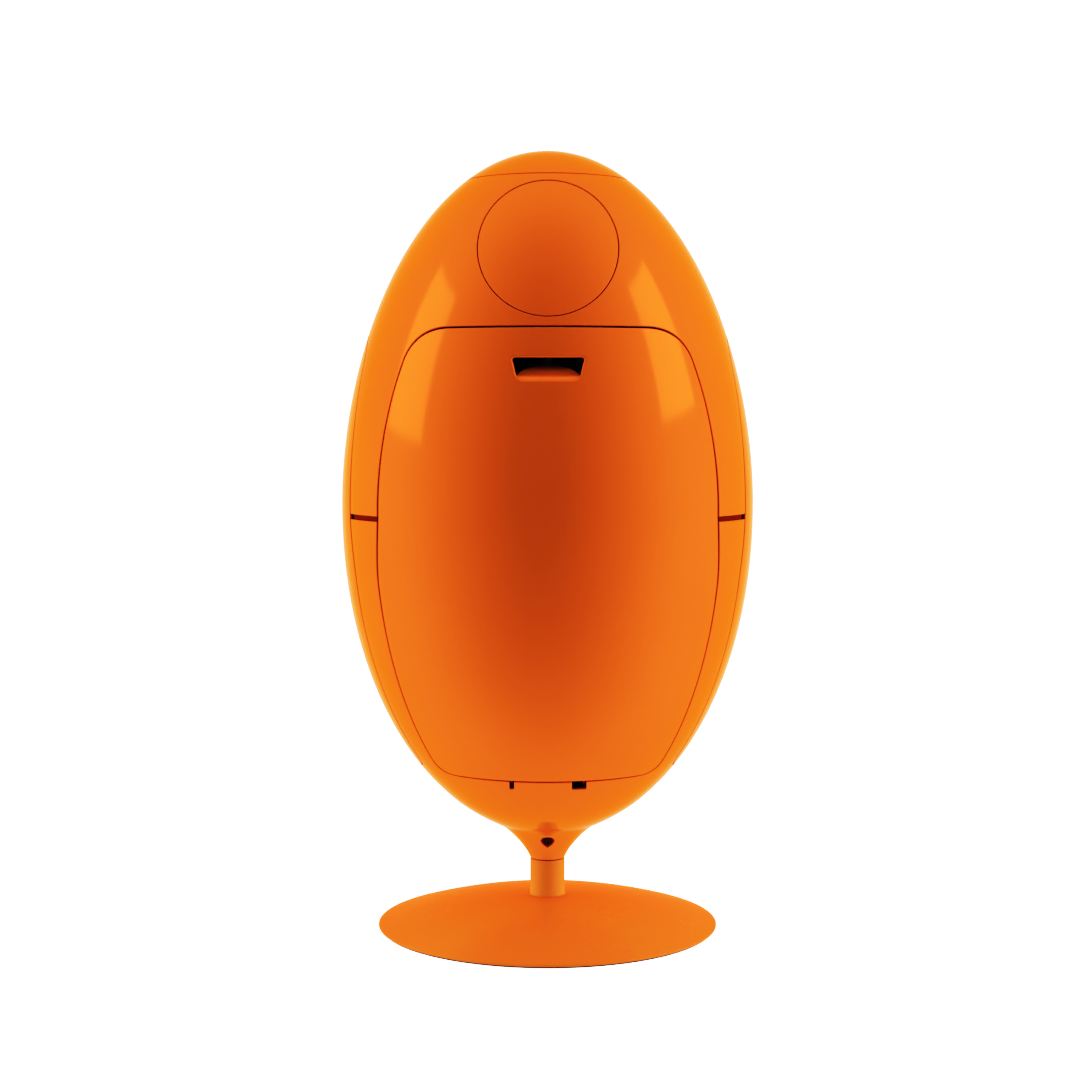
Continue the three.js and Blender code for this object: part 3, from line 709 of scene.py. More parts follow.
def shell_piece(name, made, body, node, turn=0, look=None):
    """Gloss orange piece in place of a CAD node, from what shell() made, turned to its sector."""
    vertices, normals = turned(made[0], turn), turned(made[1], turn)
    new_piece(name, vertices, made[2], body, "gloss_orange", [node], normals, look)


def sector_prism(name, outline, x, half, body, turn, bevel=0.4, corner=0):
    """Orange prism of a (y, z) outline, a half-width either side of x, turned to its sector."""
    prism(
        name, outline, x - half, x + half, "x", body, "gloss_orange",
        bevel=bevel, turn=turn, corner=corner,
    )


# ---- materials


def feed(tree, node, inputs):
    """Sets a node's inputs, each to a value or to another node's output."""
    for key, value in inputs.items():
        if isinstance(value, bpy.types.NodeSocket):
            tree.links.new(value, node.inputs[key])
        else:
            node.inputs[key].default_value = value


def add(tree, kind, inputs=None, **settings):
    node = tree.nodes.new("ShaderNode" + kind)
    for key, value in settings.items():
        setattr(node, key, value)
    feed(tree, node, inputs or {})
    return node


def calc(tree, operation, a, b=0.0, c=0.0):
    return add(tree, "Math", {0: a, 1: b, 2: c}, operation=operation).outputs[0]


def ramp(tree, value, stops):
    node = add(tree, "ValToRGB", {0: value})
    elements = node.color_ramp.elements
    while len(elements) < len(stops):
        elements.new(0.5)
    for element, (position, colour) in zip(elements, stops):
        element.position = position
        element.color = (*colour, 1)
    return node.outputs[0]


def noise(tree, coords, scale, detail=2.0, roughness=0.5, distortion=0.0):
    inputs = {
        "Vector": coords, "Scale": scale, "Detail": detail, "Roughness": roughness,
        "Distortion": distortion,
    }
    return add(tree, "TexNoise", inputs).outputs[0]


def spread(tree, value, low_value, high_value, from_low=0.3, from_high=0.7):
    inputs = {0: value, 1: from_low, 2: from_high, 3: low_value, 4: high_value}
    return add(tree, "MapRange", inputs).outputs[0]


def stretched(tree, coords, scale):
    return add(tree, "Mapping", {"Vector": coords, "Scale": scale}).outputs[0]


def new_material(name):
    material = bpy.data.materials.new(name)
    material.use_nodes = True
    tree = material.node_tree
    tree.nodes.clear()
    surface_node = add(tree, "BsdfPrincipled")
    add(tree, "OutputMaterial", {"Surface": surface_node.outputs[0]})
    coords = add(tree, "TexCoord").outputs["Object"]
    return material, tree, surface_node, coords


def bumped(tree, shader, layers):
    """Bump from (height, distance in metres) layers, one on top of another."""
    below = None
    for height, distance in layers:
        inputs = {"Height": height, "Distance": distance, "Strength": 1.0}
        if below is not None:
            inputs["Normal"] = below
        below = add(tree, "Bump", inputs).outputs[0]
    tree.links.new(below, shader.inputs["Normal"])


def scuffs(tree, coords, scale, angle):
    """Fine crossing scratches as a 0 to 1 mask."""
    inputs = {"Vector": coords, "Rotation": angle, "Scale": (scale, scale, scale / 14)}
    aslant = add(tree, "Mapping", inputs).outputs[0]
    return spread(tree, noise(tree, aslant, 1.0, 3.0, 0.6, 0.4), 0.0, 1.0, 0.66, 0.74)


def orange_material(name, colour, metallic, roughness, peel_scale, tint):
    """Orange finish whose reflections keep its colour, with clouds, flecks, smudges, scratches."""
    material, tree, shader, coords = new_material(name)
    clouds = spread(tree, noise(tree, coords, 7.0, 3.0), 0.975, 1.02)
    flecks = spread(tree, noise(tree, coords, 900.0, 1.0), -0.012, 0.012)
    inputs = {"Color": (*colour, 1), "Value": calc(tree, "ADD", clouds, flecks)}
    varied = add(tree, "HueSaturation", inputs).outputs[0]
    smudge = spread(tree, noise(tree, coords, 16.0, 4.0, 0.6), roughness * 0.85, roughness * 1.2)
    scratches = [
        scuffs(tree, coords, 620.0, (0.5, 0.2, 0.9)), scuffs(tree, coords, 540.0, (1.3, 0.7, 0.1)),
    ]
    scratch = calc(tree, "MAXIMUM", *scratches)
    feed(tree, shader, {
        "Base Color": varied, "Metallic": metallic, "Specular IOR Level": 0.0,
        "Specular Tint": (*tint, 1), "Roughness": calc(tree, "MULTIPLY_ADD", scratch, 0.02, smudge),
    })
    waves, peel = noise(tree, coords, 14.0, 1.0), noise(tree, coords, peel_scale, 1.5)
    bumped(tree, shader, [(waves, 0.00008), (peel, 0.000004)])
    return material


def moulded_material(name, colour, roughness, grain_scale, grain_depth, dust):
    """Matte moulded plastic with a fine pebbled grain, slight mottling and a little pale dust."""
    material, tree, shader, coords = new_material(name)
    clouds = noise(tree, coords, 11.0, 4.0, 0.6)
    dark = tuple(c * 0.86 for c in colour)
    light = tuple(min(1, c * 1.1 + dust) for c in colour)
    wear = noise(tree, coords, 24.0, 4.0, 0.65)
    feed(tree, shader, {
        "Base Color": ramp(tree, clouds, [(0.3, dark), (0.52, colour), (0.75, light)]),
        "Roughness": spread(tree, wear, roughness * 0.85, roughness * 1.15),
    })
    cells = add(tree, "TexVoronoi", {"Vector": coords, "Scale": grain_scale})
    fine = noise(tree, coords, grain_scale * 2.3, 2.0)
    bumped(tree, shader, [(cells.outputs["Distance"], grain_depth), (fine, grain_depth * 0.5)])
    return material


STEEL_STAINS = [(0.3, (0.42, 0.43, 0.45)), (0.55, (0.56, 0.57, 0.59)), (0.8, (0.62, 0.62, 0.62))]


def steel_material(name, shade=(1, 1, 1)):
    """Brushed steel: fine streaks round the axis, with soft stains."""
    material, tree, shader, coords = new_material(name)
    streaks = noise(tree, stretched(tree, coords, (60, 60, 2600)), 1.0, 3.0, 0.7)
    stains = noise(tree, coords, 38.0, 4.0, 0.6)
    stops = [(at, tuple(np.multiply(shade, colour))) for at, colour in STEEL_STAINS]
    rough = calc(tree, "ADD", spread(tree, streaks, 0.2, 0.38), spread(tree, stains, -0.03, 0.05))
    feed(tree, shader, {
        "Base Color": ramp(tree, stains, stops), "Metallic": 1.0, "Roughness": rough,
    })
    bumped(tree, shader, [(streaks, 0.00001)])
    return material


ORANGES = [  # name, colour, metallic, roughness, scale of the peel, tint at grazing angles
    ("gloss_orange", (0.86, 0.195, 0.038), 0.41, 0.10, 300.0, (0.95, 0.7, 0.4)),
    ("painted_orange", (0.9, 0.265, 0.055), 0.12, 0.24, 850.0, (0.8, 0.25, 0.05)),
    # painted shade: a darkened copy of the gloss orange, standing for the shadow on the rails deep
    # in the slots
    ("painted_shade_orange", (0.26, 0.035, 0.008), 0.0, 0.5, 300.0, (0.3, 0.05, 0.01)),
]
PLASTICS = [  # name, colour, roughness, scale and depth of the grain, dust
    ("grey_plastic", (0.089, 0.092, 0.097), 0.55, 900.0, 0.00004, 0.03),
    ("pale_plastic", (0.47, 0.48, 0.475), 0.5, 800.0, 0.00003, 0.01),
    ("black_rubber", (0.012, 0.012, 0.012), 0.8, 1400.0, 0.00006, 0.03),
    ("black_nylon", (0.018, 0.019, 0.020), 0.5, 1600.0, 0.00002, 0.03),
]
MATERIALS = {row[0]: orange_material(*row) for row in ORANGES}
MATERIALS.update({row[0]: moulded_material(*row) for row in PLASTICS})
MATERIALS["steel"] = steel_material("steel")
# painted shade: steel darkened to a red-brown for the neck screw, standing for the shadow in its
# recess
MATERIALS["painted_shade_steel"] = steel_material("painted_shade_steel", (0.4, 0.13, 0.08))

# ---- base


def build_base():
    disc_r, centre_z = high("base_disc").x, high("base_disc").z
    disc_low, sheet_t = 2.0, 2.6
    rim = disc_low + sheet_t

    def dome_z(r):
        return rim + (centre_z - rim) * (1 - (r / disc_r) ** 2)

    radii = np.linspace(7, disc_r - 0.9, 40)
    top = [(r, z, 0) for r, z in zip(radii, dome_z(radii))]
    underside = [(r, z - sheet_t, 0) for r, z, _ in reversed(top)]
    edge = [
        (disc_r, rim - 0.35, 0), (disc_r, disc_low + 0.9, 0), (disc_r - 0.5, disc_low + 0.25, 0),
    ]
    outline = [(6.4, centre_z - 0.3, 0), *top, *edge, *underside]
    disc = lathe(
        "base_disc_pressing", outline, "base", "painted_orange", ["base_disc"], segments=220
    )
    pad_r = np.array([205, 200, 199.2, 196.8, 196, 192])
    pad_z = dome_z(pad_r) - sheet_t - np.array([0.6, 0.6, 1.3, 1.3, 0.6, 0.6])
    pad = [(192, 0), (205, 0), *zip(pad_r, pad_z)]
    ring = lathe("base_pad", pad, "base", "black_rubber", ["base_pad_ring"], 0.3, 180, steps=2)
    post_r, bore_r, post_top, foot = 21.2, 17.5, high("post_tube").z, low("post_tube").z
    arc = np.linspace(0, math.pi / 2, 10)
    weld = [(post_r + 2.2 * (1 - math.sin(a)), foot + 2.6 * (1 - math.cos(a)), 0) for a in arc]
    outline = [(bore_r, foot, 0.2), *weld, (post_r, post_top, 1.2), (bore_r, post_top, 0.3)]
    post = lathe("post", outline, "base", "painted_orange", ["post_tube"], steps=6)
    bolts = [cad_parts[name] for name in ("post_washer", "post_bolt")]
    for piece in (disc, ring, post, *bolts):  # the egg's underside mirrors the pale floor instead
        piece.visible_diffuse = piece.visible_glossy = False
    top_z = high("post_spigot").z
    bar = [
        (0, foot + 40), (6.2, foot + 40), (6.2, foot), (17, foot), (17, SCREW_Z - 4.5),
        (14.2, SCREW_Z - 3.5), (14.2, SCREW_Z + 3.5), (17, SCREW_Z + 4.5), (17, top_z - 2),
        (15, top_z), (0, top_z),
    ]
    lathe("spigot", bar, "base", "steel", ["post_spigot"], 0.4, 72)
    washer_low, washer_top = low("thrust_washer").z, high("thrust_washer").z
    washer = [(17.4, washer_low), (20, washer_low), (20, washer_top), (17.4, washer_top)]
    lathe("bearing_washer", washer, "base", "black_nylon", ["thrust_washer"], 0.15, 72)


# ---- egg shells


def neck_thinning(s):
    """Share of the wall's thickness: the neck is thinner than the rest, to clear its bush."""
    return 0.56 + 0.44 * smoothstep(s, 0, 14)


def build_lower_shell():
    loops = [
        (shell_loop(True), moulded_edge()),
        (ring_loop(NECK_Z + 0.02, 64), moulded_edge(fillet=0.6, chamfer=0.2)),
        (front_loop(recess_outline()), moulded_edge(fillet=0.5, chamfer=0.2)),
    ]
    made = shell(loops, neck_domain, thin=neck_thinning)
    shell_piece("lower_shell_wall", made, "egg", "lower_shell")
    s = s_of(np.linspace(121, 138.5, 12))  # the hub's web follows the middle of the flare's wall
    middle = [
        np.interp(s, S, at) - WALL / 2 * np.interp(s, S, normal)
        for at, normal in ((R, NR), (Z, NZ))
    ]
    web = list(zip(*middle, [0] * len(s)))
    hub = [(19.5, web[0][1]), *web, (24, web[-1][1]), (24, 172), (19.5, 172)]
    lathe("neck_hub", hub, "egg", "gloss_orange", radius=1.0)
    sleeve = [(17.3, 84.5), (19.1, 84.5), (19.1, 170), (17.3, 170)]
    lathe("swivel_sleeve", sleeve, "egg", "black_nylon", ["swivel_bush"], 0.3, 72)
    build_recess()


def at_depth(outline, y):
    return np.column_stack([outline[:, 0], np.broadcast_to(y, len(outline)), outline[:, 1]])


def build_recess():
    """Cup behind the neck's opening, down to the screw's seat."""
    seat_y, seat_t, bore_r = -26, 1.4, 3.2
    outline = recess_outline()
    front_y = on_front(*outline.T)[:, 1]
    centre = np.array([0, SCREW_Z])
    grown, shrunk = (centre + (outline - centre) * factor for factor in (1.14, 0.92))
    count = len(outline)
    start = math.atan2(outline[0][1] - SCREW_Z, outline[0][0])
    a = start + np.arange(count) / count * 2 * math.pi
    bore = np.stack([bore_r * np.cos(a), SCREW_Z + bore_r * np.sin(a)], 1)
    places = [
        (grown, front_y + 2.2), (outline, front_y + 1.6), (outline, seat_y - 0.6),
        (shrunk, seat_y), (bore, seat_y), (bore, seat_y + seat_t), (grown, seat_y + seat_t),
    ]
    vertices, faces = joined_rings([at_depth(ring, y) for ring, y in places])
    closed_piece("neck_recess", vertices, faces, "egg", "gloss_orange")


def build_upper_shell():
    head = (ring_loop(SHELL_HEAD_Z, 260), moulded_edge(fillet=0.4))
    loops = [(shell_loop(False), moulded_edge()), head]
    porthole = front_loop(circle(PORTHOLE_R, 210, 0, FLAP_Z))
    loops += [(turned(porthole, angle), rebated_edge()) for _, angle in SECTORS]
    shell_piece("upper_shell_wall", shell(loops, pole_domain), "egg", "upper_shell")
    deck_top = DECK_Z + DECK_T
    deck = [(17.4, DECK_Z), (101.8, DECK_Z), (100.8, deck_top), (17.4, deck_top)]
    lathe("press_deck", deck, "egg", "gloss_orange", radius=0.4, segments=160)
    bracket = [
        (-213.9, 729), (-206, 729), (-206, 711.5), (-203, 711.5), (-203, 731.5), (-213.9, 731.5),
    ]
    ear = [
        (PIN_Y - 5, PIN_Z - 2), (PIN_Y - 2, PIN_Z - 6), (PIN_Y + 4, PIN_Z - 6),
        (PIN_Y + 26, DECK_Z + 1), (PIN_Y + 18, DECK_Z + 1), (PIN_Y + 5.5, PIN_Z + 8),
        (PIN_Y - 4, PIN_Z + 3),
    ]
    for sector, angle in SECTORS:
        sector_prism(f"catch_bracket_{sector}", bracket, 0, 15, "egg", angle, 0.4, 0.8)
        for side, x in (("a", -43.5), ("b", 43.5)):
            sector_prism(f"flap_ear_{sector}_{side}", ear, x, 1.5, "egg", angle, 0.3, 0.5)


def build_press():
    dome = [(ring_loop(CAP_EDGE_Z, 260), moulded_edge(fillet=0.4))]
    shell_piece("press_cap_dome", shell(dome, pole_domain), "press", "press_cap")
    socket = [(12.3, 908.9), (18, 908.9), (18, 943.2), (12.3, 944.2)]
    lathe("press_cap_socket", socket, "press", "gloss_orange", radius=0.6, segments=72)
    rib = [(-17.6, 922), (-60, 928.5), (-60, 930.8), (-17.6, 941.5)]
    for k in range(6):
        sector_prism(f"press_cap_rib_{k}", rib, 0, 0.9, "press", 60 * k, 0.25)
    rod = [(0, 590.3), (12, 590.3, 1.2), (12, 929.7, 1.2), (0, 929.7)]
    lathe("press_rod_bar", rod, "press", "steel", ["press_rod"], 0.8, 72)
    plate = [
        (0, 584), (45, 584, 1.2), (45, 590, 1.5), (20.5, 590, 1.5), (18, 592.5, 0.8),
        (18, 608, 1.2), (12.3, 608, 0.6), (12.3, 590.2, 0), (0, 590.2, 0),
    ]
    lathe("press_plate_disc", plate, "press", "steel", ["press_plate"], 0.8, 120)
    guide = [(12.4, 868.4), (16.8, 868.4), (16.8, 905.4), (26, 905.4), (26, 908.6), (12.4, 908.6)]
    lathe("press_guide_bush", guide, "egg", "black_nylon", ["press_guide"], 0.6, 96)
    anvil = [
        (0, 546.1), (36, 546.1, 1.5), (37.5, 551.7, 1), (52.5, 551.7, 0.8), (52.5, 555.6, 0.8),
        (45, 555.6, 0.4), (44, 554.8, 0.4), (41, 554.8, 0.4), (40, 555.6, 0.4), (0, 555.6),
    ]
    lathe("anvil", anvil, "egg", "grey_plastic", ["press_anvil"], 0.8, 120)
    whole = 2 * math.pi
    wall = []
    for r, a0, a1 in ((52.5, 0.975, whole - 0.975), (50, whole - 0.985, 0.985)):
        wall += [(r * math.sin(a), -r * math.cos(a)) for a in np.linspace(a0, a1, 90)]
    prism(
        "press_chamber_wall", wall, 555.9, 902, "z", "egg", "pale_plastic", ["press_chamber"], 0.7
    )


def build_inside():
    edge = high("floor_tray").x
    tray = [
        (27.4, 178), (edge, 178), (edge, 181.5, 0.8), (edge - 1.8, 181.5, 0.8),
        (edge - 3, 180.4, 1), (29.4, 180.4, 1), (29.0, 183.5, 0.4), (27.4, 183.5, 0.4),
    ]
    lathe("floor_pan", tray, "egg", "grey_plastic", ["floor_tray"], 0.4, 180)
    column = [(24.4, 160), (27, 160), (27, 545.9), (24.4, 545.9)]
    lathe("column_tube", column, "egg", "pale_plastic", ["centre_column"])
    foot_z, head_z = 181, 898.4
    heights = np.linspace(foot_z, head_z, 90)
    s = s_of(heights)
    depth = WALL + 4.1
    radius = np.interp(s, S, R) - depth * np.interp(s, S, NR)
    rise = heights - depth * np.interp(s, S, NZ)
    keep = (rise > foot_z + 0.5) & (rise < head_z - 0.4)
    wall_edge = list(zip(radius[keep], rise[keep]))
    panel = [
        (27.8, foot_z), (wall_edge[0][0] - 1, foot_z), *wall_edge, (wall_edge[-1][0], head_z),
        (53.2, head_z), (53.2, 545.6), (27.8, 545.6),
    ]
    panel = [(-r, z) for r, z in panel]
    # The ledge's section is drawn across the panel and extruded outwards from the axis.
    ledge = [(-1.4, 631), (1.4, 631), (15, 645.2, 1), (15, 647.7, 1)]
    ledge = [(-15, 647.7, 1), (-15, 645.2, 1), *ledge]
    for sector, angle in SECTORS:
        rib = angle + RIB_AZIMUTH
        prism(
            f"partition_panel_{sector}", panel, -1.5, 1.5, "x", "egg", "pale_plastic",
            [f"partition_{sector}"], 0.5, rib,
        )
        for side, r in (("inner", 92), ("outer", 160)):
            name = f"ring_ledge_{side}_{sector}"
            prism(name, ledge, -(r + 16), -r, "y", "egg", "pale_plastic", turn=rib)
        build_rail(sector, rib)
        build_bag_ring(sector, angle)


def build_rail(sector, rib):
    """Strip behind a rib, seen in the slot between the shells, coloured a darkened orange as
    painted shade.
    """
    edge = np.array([(10, 188), (18, 330), (25, 430), (32, SLOT_Z - 9), (32, 876)], float)
    outline = np.concatenate([edge, edge[::-1] * [-1, 1]])
    fine = softened(at_depth(outline, 0), 3)
    loop = front_loop(divided(fine, 6)[:, [0, 2]])
    section = moulded_edge(3.0, 0.5, 0.3)
    made = shell([(loop, section)], front_domain, 9, 3.0, WALL + 0.4)
    # the rail is the gloss orange plastic, drawn with a darkened copy of it as painted shade
    shell_piece(f"rail_{sector}", made, "egg", f"rib_rail_{sector}", rib, "painted_shade_orange")


def build_bag_ring(sector, angle):
    """Flat hoop with a raised lip round its mouth."""

    def band(outer, outer_angle, inner, inner_angle):
        arcs = []
        for r, a0, a1 in ((outer, -outer_angle, outer_angle), (inner, inner_angle, -inner_angle)):
            a = np.radians(np.linspace(a0, a1, 60))
            arcs.append(np.stack([r * np.sin(a), -r * np.cos(a)], 1))
        return smooth_band(rounded(np.concatenate(arcs), 7, 6))

    outer, inner = band(196, 55, 66, 46), band(187, 51.5, 76, 38)
    node = f"bag_ring_{sector}"
    z0, z1 = low(node).z, high(node).z
    sections = [
        (0.0, z0 + 0.6), (0.0, z1 - 0.9), (0.09, z1 - 0.15), (0.2, z1 - 0.9), (0.75, z1 - 0.9),
        (0.85, z1), (0.96, z1 - 0.2), (1.0, z1 - 0.8), (1.0, z0 + 0.5), (0.92, z0), (0.08, z0),
    ]
    rings = [np.insert(outer + (inner - outer) * t, 2, z, axis=1) for t, z in sections]
    vertices, faces = joined_rings(rings)
    closed_piece(
        f"bag_hoop_{sector}", vertices, faces, "egg", "grey_plastic", [node], turn=angle
    )


def smooth_band(outline, count=280):
    """The same closed outline as evenly spaced points, starting at its corner."""
    closed = np.concatenate([outline, outline[:1]])
    length = np.concatenate([[0], np.cumsum(np.hypot(*np.diff(closed, axis=0).T))])
    even = np.linspace(0, length[-1], count, endpoint=False)
    return np.stack([np.interp(even, length, side) for side in closed.T], 1)


# ---- doors and flaps


def build_doors():
    loops = [
        (front_loop(door_outline(-0.5)), moulded_edge()),
        (front_loop(handle_outline()), moulded_edge(fillet=3.0, steps=7)),
    ]
    made = shell(loops, front_domain)
    boss = [(-218.0, 711), (-215.6, 723.5), (-212.3, 723.5), (-212.3, 711)]
    hook = [
        (-155.5, 211.5, 0), (-147, 209), (-136.5, 204), (-134, 196.5), (-131, 195),
        (-128.5, 189), (-125.5, 188), (-125, 199), (-130, 209), (-139, 222), (-158, 238),
        (-173.0, 236, 0),
    ]
    for sector, angle in SECTORS:
        body = f"{sector}_door"
        shell_piece(f"door_{sector}_panel", made, body, f"door_{sector}", angle)
        build_ramp(sector, angle, body)
        sector_prism(f"catch_boss_{sector}", boss, 0, 15, body, angle)
        for side, x in zip("ab", HOOKS_X):
            sector_prism(f"door_hook_{sector}_{side}", hook, x, 2, body, angle, 0.4, 1.2)


def build_ramp(sector, angle, body):
    """Scoop below the finger opening that leads the fingers in and up."""
    half, foot_z, arch = 37.6, HANDLE["bottom"] - 2, 19
    x = half * np.sin(np.linspace(-math.pi / 2, math.pi / 2, 41))
    crown = foot_z + arch * np.sqrt(np.clip(1 - (x / 38.0) ** 2, 0, 1))
    share = np.linspace(0, 1, 20)[:, None] ** 0.7
    z = (foot_z - 1.2) + share * (crown - foot_z + 1.2)[None]
    wide = np.broadcast_to(x, z.shape)
    start = on_front(x, np.full_like(x, foot_z))[:, 1] + 1.7
    rise = z - foot_z
    y = start[None] + rise + 26 * np.clip(rise / arch, 0, 1) ** 8
    top = np.stack([wide, y, z], -1)
    bottom = top + np.array([0, 1.2, -1.1])
    sheet(f"finger_ramp_{sector}", top, bottom, body, "gloss_orange", angle)


def build_flaps():
    rim = front_loop(circle(FLAP_R, 204, 0, FLAP_Z))
    made = shell([(rim, moulded_edge(fillet=0.7))], front_domain)
    arm_x = 35
    foot_y, head_y = (float(on_front([arm_x], [PIN_Z - drop])[0, 1]) for drop in (8, 2))
    arm = [
        (foot_y + 1.4, PIN_Z - 17), (PIN_Y + 4.5, PIN_Z - 3, 3), (PIN_Y + 4.5, PIN_Z + 4.5, 4),
        (PIN_Y - 4.5, PIN_Z + 4.5, 4), (head_y + 1.6, PIN_Z - 2),
    ]
    for sector, angle in SECTORS:
        body = f"{sector}_flap"
        shell_piece(f"flap_{sector}_disc", made, body, f"flap_{sector}", angle)
        for side, x in (("a", -arm_x), ("b", arm_x)):
            sector_prism(f"flap_arm_{sector}_{side}", arm, x, 1.5, body, angle, 0.3, 0.5)
        build_pin(sector, angle)
        build_spring(sector, angle)


def build_pin(sector, angle):
    half, radius = high("flap_pin_front").x, 2.0
    outline = [(0, -half), (radius, -half, 0.6), (radius, half, 0.6), (0, half)]

    def lie_down(v):
        flat = np.column_stack([v[:, 2], PIN_Y + v[:, 0], PIN_Z + v[:, 1]])
        return turned(flat, angle)

    node = f"flap_pin_{sector}"
    lathe(f"pin_{sector}", outline, "egg", "steel", [node], 0.5, 28, lie_down, steps=3)


def build_spring(sector, angle):
    turns, half, coil, wire = 3, 12, 4, 0.75
    t = np.linspace(0, 1, 110)
    a = 2 * math.pi * turns * t
    path = np.stack([-half + 2 * half * t, PIN_Y + coil * np.cos(a), PIN_Z + coil * np.sin(a)], 1)
    node = f"flap_spring_{sector}"
    sweep(f"spring_{sector}", turned(path, angle), wire, "egg", "steel", [node], 10)


def finish_cad_nodes():
    """CAD nodes that stay: small steel and plastic blocks, given rounded edges and their finish;
    the neck screw's dark red-brown steel is painted shade.
    """
    kept = {
        "post_washer": ("steel", "steel", 0.25), "post_bolt": ("steel", "steel", 0.4),
        # the neck screw takes the steel darkened to red-brown as painted shade of its recess
        "neck_screw": ("steel", "painted_shade_steel", 0.35),
    }
    for sector, _ in SECTORS:
        kept[f"catch_plate_{sector}"] = ("steel", "steel", 0.3)
        kept[f"catch_magnet_{sector}"] = ("grey_plastic", "grey_plastic", 0.4)
    for name, (slot_name, look, width) in kept.items():
        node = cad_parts[name]
        node.data.materials.clear()
        node.data.materials.append(MATERIALS[look])
        add_bevel(node, width, 2, 30)
        add_weighted_normals(node)


# ---- stage, light and camera

STUDIO = {
    "white": 2.06, "dark": 0.18, "core": 4, "edge": 94, "azimuth": -4, "elevation": 4,
    "up": 0.6, "down": 0.8, "overhead": 0.22, "backdrop": 3.0,
}
SOFTBOXES = [
    {"azimuth": (-103.5, -75), "elevation": (9.8, 39), "level": 1.35},
    {"azimuth": (68.5, 95), "elevation": (14, 43), "level": 1.4},
]
# The camera's response: scene light to picture light.
RESPONSE = [
    (0, 0), (0.05, 0.0098), (0.11, 0.0356), (0.28, 0.171), (0.4, 0.309), (0.5, 0.456),
    (0.8, 0.695), (1.27, 0.871), (1.8, 0.978), (2.4, 1.0),
]


def degrees(tree, operation, *values):
    """The result of an inverse trigonometric operation, in degrees."""
    return calc(tree, "MULTIPLY", calc(tree, operation, *values), 180 / math.pi)


def smooth_range(tree, value, start, end, at_start, at_end):
    inputs = {0: value, 1: start, 2: end, 3: at_start, 4: at_end}
    return add(tree, "MapRange", inputs, interpolation_type="SMOOTHSTEP").outputs[0]


def studio_light(tree, direction):
    """Light from a direction: bright all round, dimmer overhead and below, darkest where the
    camera stands."""
    axes = add(tree, "SeparateXYZ", {0: direction}).outputs
    above = calc(tree, "GREATER_THAN", axes[2])
    squeeze = calc(tree, "MULTIPLY_ADD", above, STUDIO["up"] - STUDIO["down"], STUDIO["down"])
    flat = {0: axes[0], 1: axes[1], 2: calc(tree, "MULTIPLY", axes[2], squeeze)}
    flat = add(tree, "CombineXYZ", flat).outputs[0]
    unit = add(tree, "VectorMath", {0: flat}, operation="NORMALIZE").outputs["Vector"]
    a, e = math.radians(STUDIO["azimuth"]), math.radians(STUDIO["elevation"])
    aim = (math.sin(a) * math.cos(e), -math.cos(a) * math.cos(e), math.sin(e))
    cosine = add(tree, "VectorMath", {0: unit, 1: aim}, operation="DOT_PRODUCT")
    away = degrees(tree, "ARCCOSINE", cosine.outputs["Value"])
    ends = [STUDIO[key] for key in ("core", "edge", "dark", "white")]
    level = smooth_range(tree, away, *ends)
    upright = calc(tree, "MULTIPLY", axes[2], axes[2])
    shade = calc(tree, "MULTIPLY_ADD", upright, -STUDIO["overhead"], 1.0)
    return calc(tree, "MULTIPLY", level, shade), axes


def build_world():
    """The studio's light, two softboxes and a white backdrop that only the camera sees."""
    world = bpy.data.worlds.new("studio")
    bpy.context.scene.world = world
    world.use_nodes = True
    tree = world.node_tree
    tree.nodes.clear()
    direction = add(tree, "TexCoord").outputs["Generated"]
    level, axes = studio_light(tree, direction)
    azimuth = degrees(tree, "ARCTAN2", axes[0], calc(tree, "MULTIPLY", axes[1], -1.0))
    elevation = degrees(tree, "ARCSINE", axes[2])
    for softbox in SOFTBOXES:
        mask = None
        for angle, ends in ((azimuth, softbox["azimuth"]), (elevation, softbox["elevation"])):
            for edge, values in zip(ends, ((0.0, 1.0), (1.0, 0.0))):
                side = smooth_range(tree, angle, edge - 0.5, edge + 0.5, *values)
                mask = side if mask is None else calc(tree, "MULTIPLY", mask, side)
        level = calc(tree, "MULTIPLY_ADD", mask, softbox["level"], level)
    seen = add(tree, "LightPath").outputs["Is Camera Ray"]
    light, backdrop = (
        add(tree, "Background", {"Color": (1, 1, 1, 1), "Strength": strength}).outputs[0]
        for strength in (level, STUDIO["backdrop"])
    )
    mixed = add(tree, "MixShader", {0: seen, 1: light, 2: backdrop})
    add(tree, "OutputWorld", {"Surface": mixed.outputs[0]})


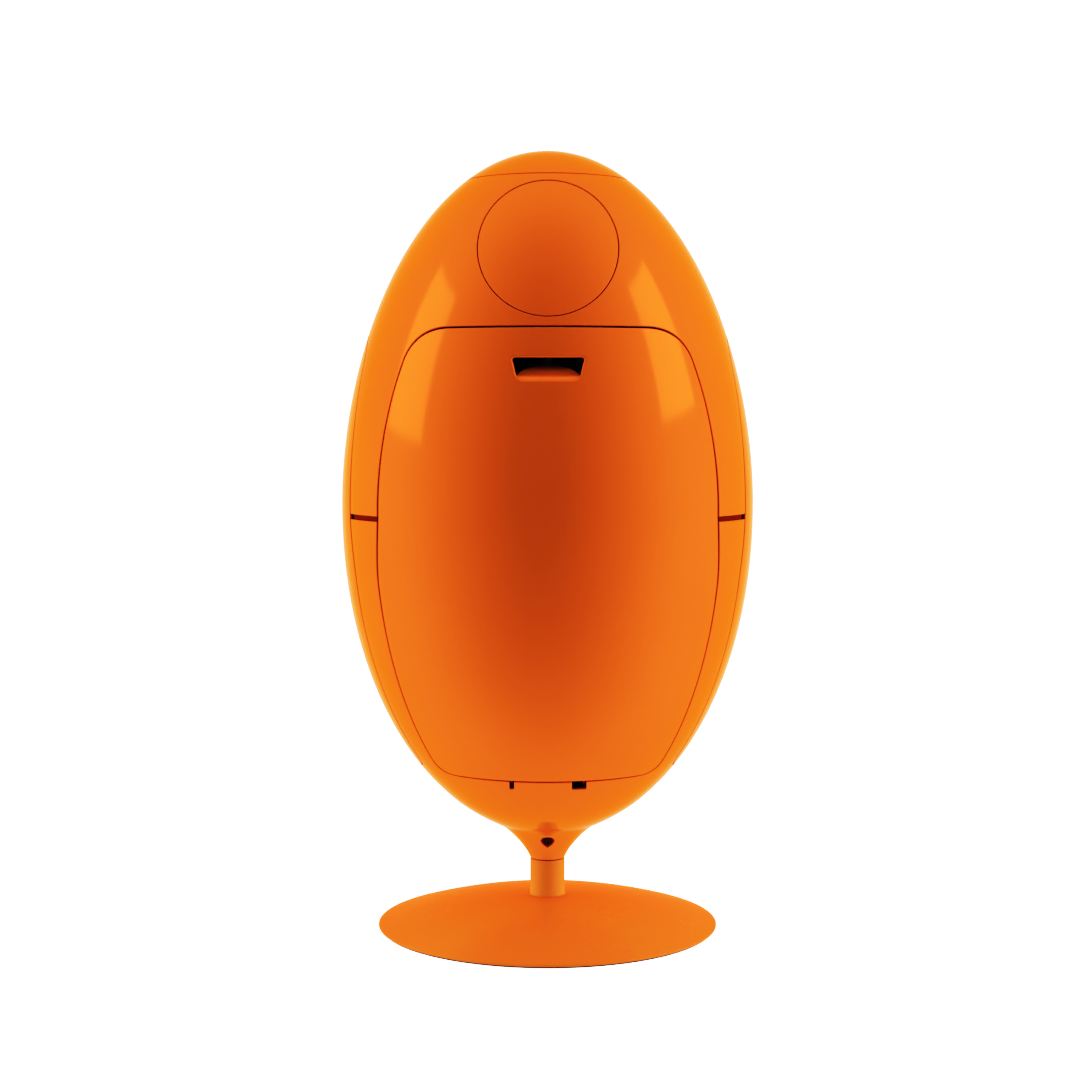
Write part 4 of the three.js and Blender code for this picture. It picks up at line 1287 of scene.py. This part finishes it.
def build_floor():
    """Large pale floor with a faint mottling."""
    rings, segments, reach = 40, 96, 30000
    vertices = [(0, 0, 0)]
    for r in np.geomspace(40, reach, rings):
        vertices += [(r * math.cos(a), r * math.sin(a), 0) for a in full_turn(segments)]
    faces = [[0, 1 + i, 1 + (i + 1) % segments] for i in range(segments)]
    for k in range(rings - 1):
        a, b = 1 + k * segments, 1 + (k + 1) * segments
        for i in range(segments):
            j = (i + 1) % segments
            faces.append([a + i, b + i, b + j, a + j])
    mesh = bpy.data.meshes.new("floor")
    mesh.from_pydata((np.array(vertices) * MM).tolist(), [], faces)
    floor = bpy.data.objects.new("floor", mesh)
    bpy.context.scene.collection.objects.link(floor)
    material, tree, shader, coords = new_material("pale_floor")
    mottling = noise(tree, coords, 3.0, 3.0)
    feed(tree, shader, {
        "Base Color": ramp(tree, mottling, [(0.3, (0.86, 0.86, 0.86)), (0.7, (0.9, 0.9, 0.9))]),
        "Roughness": 0.6, "Specular IOR Level": 0.2,
        "Emission Color": (1, 1, 1, 1), "Emission Strength": 1.3,
    })
    back = add(tree, "NewGeometry").outputs["Incoming"]
    direction = add(tree, "VectorMath", {0: back, "Scale": -1.0}, operation="SCALE")
    level, _ = studio_light(tree, direction.outputs[0])
    bounce = add(tree, "Emission", {"Strength": level}).outputs[0]
    seen = add(tree, "LightPath").outputs["Is Camera Ray"]
    mixed = add(tree, "MixShader", {0: seen, 1: bounce, 2: shader.outputs[0]})
    feed(tree, tree.nodes["Material Output"], {"Surface": mixed.outputs[0]})
    mesh.materials.append(material)
    floor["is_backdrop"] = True


def build_camera():
    data = bpy.data.cameras.new("camera")
    data.sensor_width = 36
    data.lens = 68.29
    data.clip_end = 100
    camera = bpy.data.objects.new("camera", data)
    camera.location = (-0.00915, -2.5, 0.6327)
    camera.rotation_euler = (math.pi / 2 - 0.0628, 0, 0)
    bpy.context.scene.collection.objects.link(camera)
    bpy.context.scene.camera = camera


def set_response():
    view = bpy.context.scene.view_settings
    view.view_transform = "Standard"
    view.use_curve_mapping = True
    mapping = view.curve_mapping
    brightest = RESPONSE[-1][0]
    mapping.white_level = (brightest, brightest, brightest)
    curve = mapping.curves[3]
    while len(curve.points) < len(RESPONSE):
        curve.points.new(1, 1)
    for point, place in zip(curve.points, RESPONSE):
        point.location = (place[0] / brightest, place[1])
        point.handle_type = "AUTO_CLAMPED"
    mapping.update()


build_base()
build_lower_shell()
build_upper_shell()
build_press()
build_inside()
build_doors()
build_flaps()
finish_cad_nodes()
build_world()
build_floor()
build_camera()
set_response()

boxes = {"cad": CAD_BOX, "visual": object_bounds()}
{name: [list(lo), list(hi)] for name, (lo, hi) in boxes.items()}
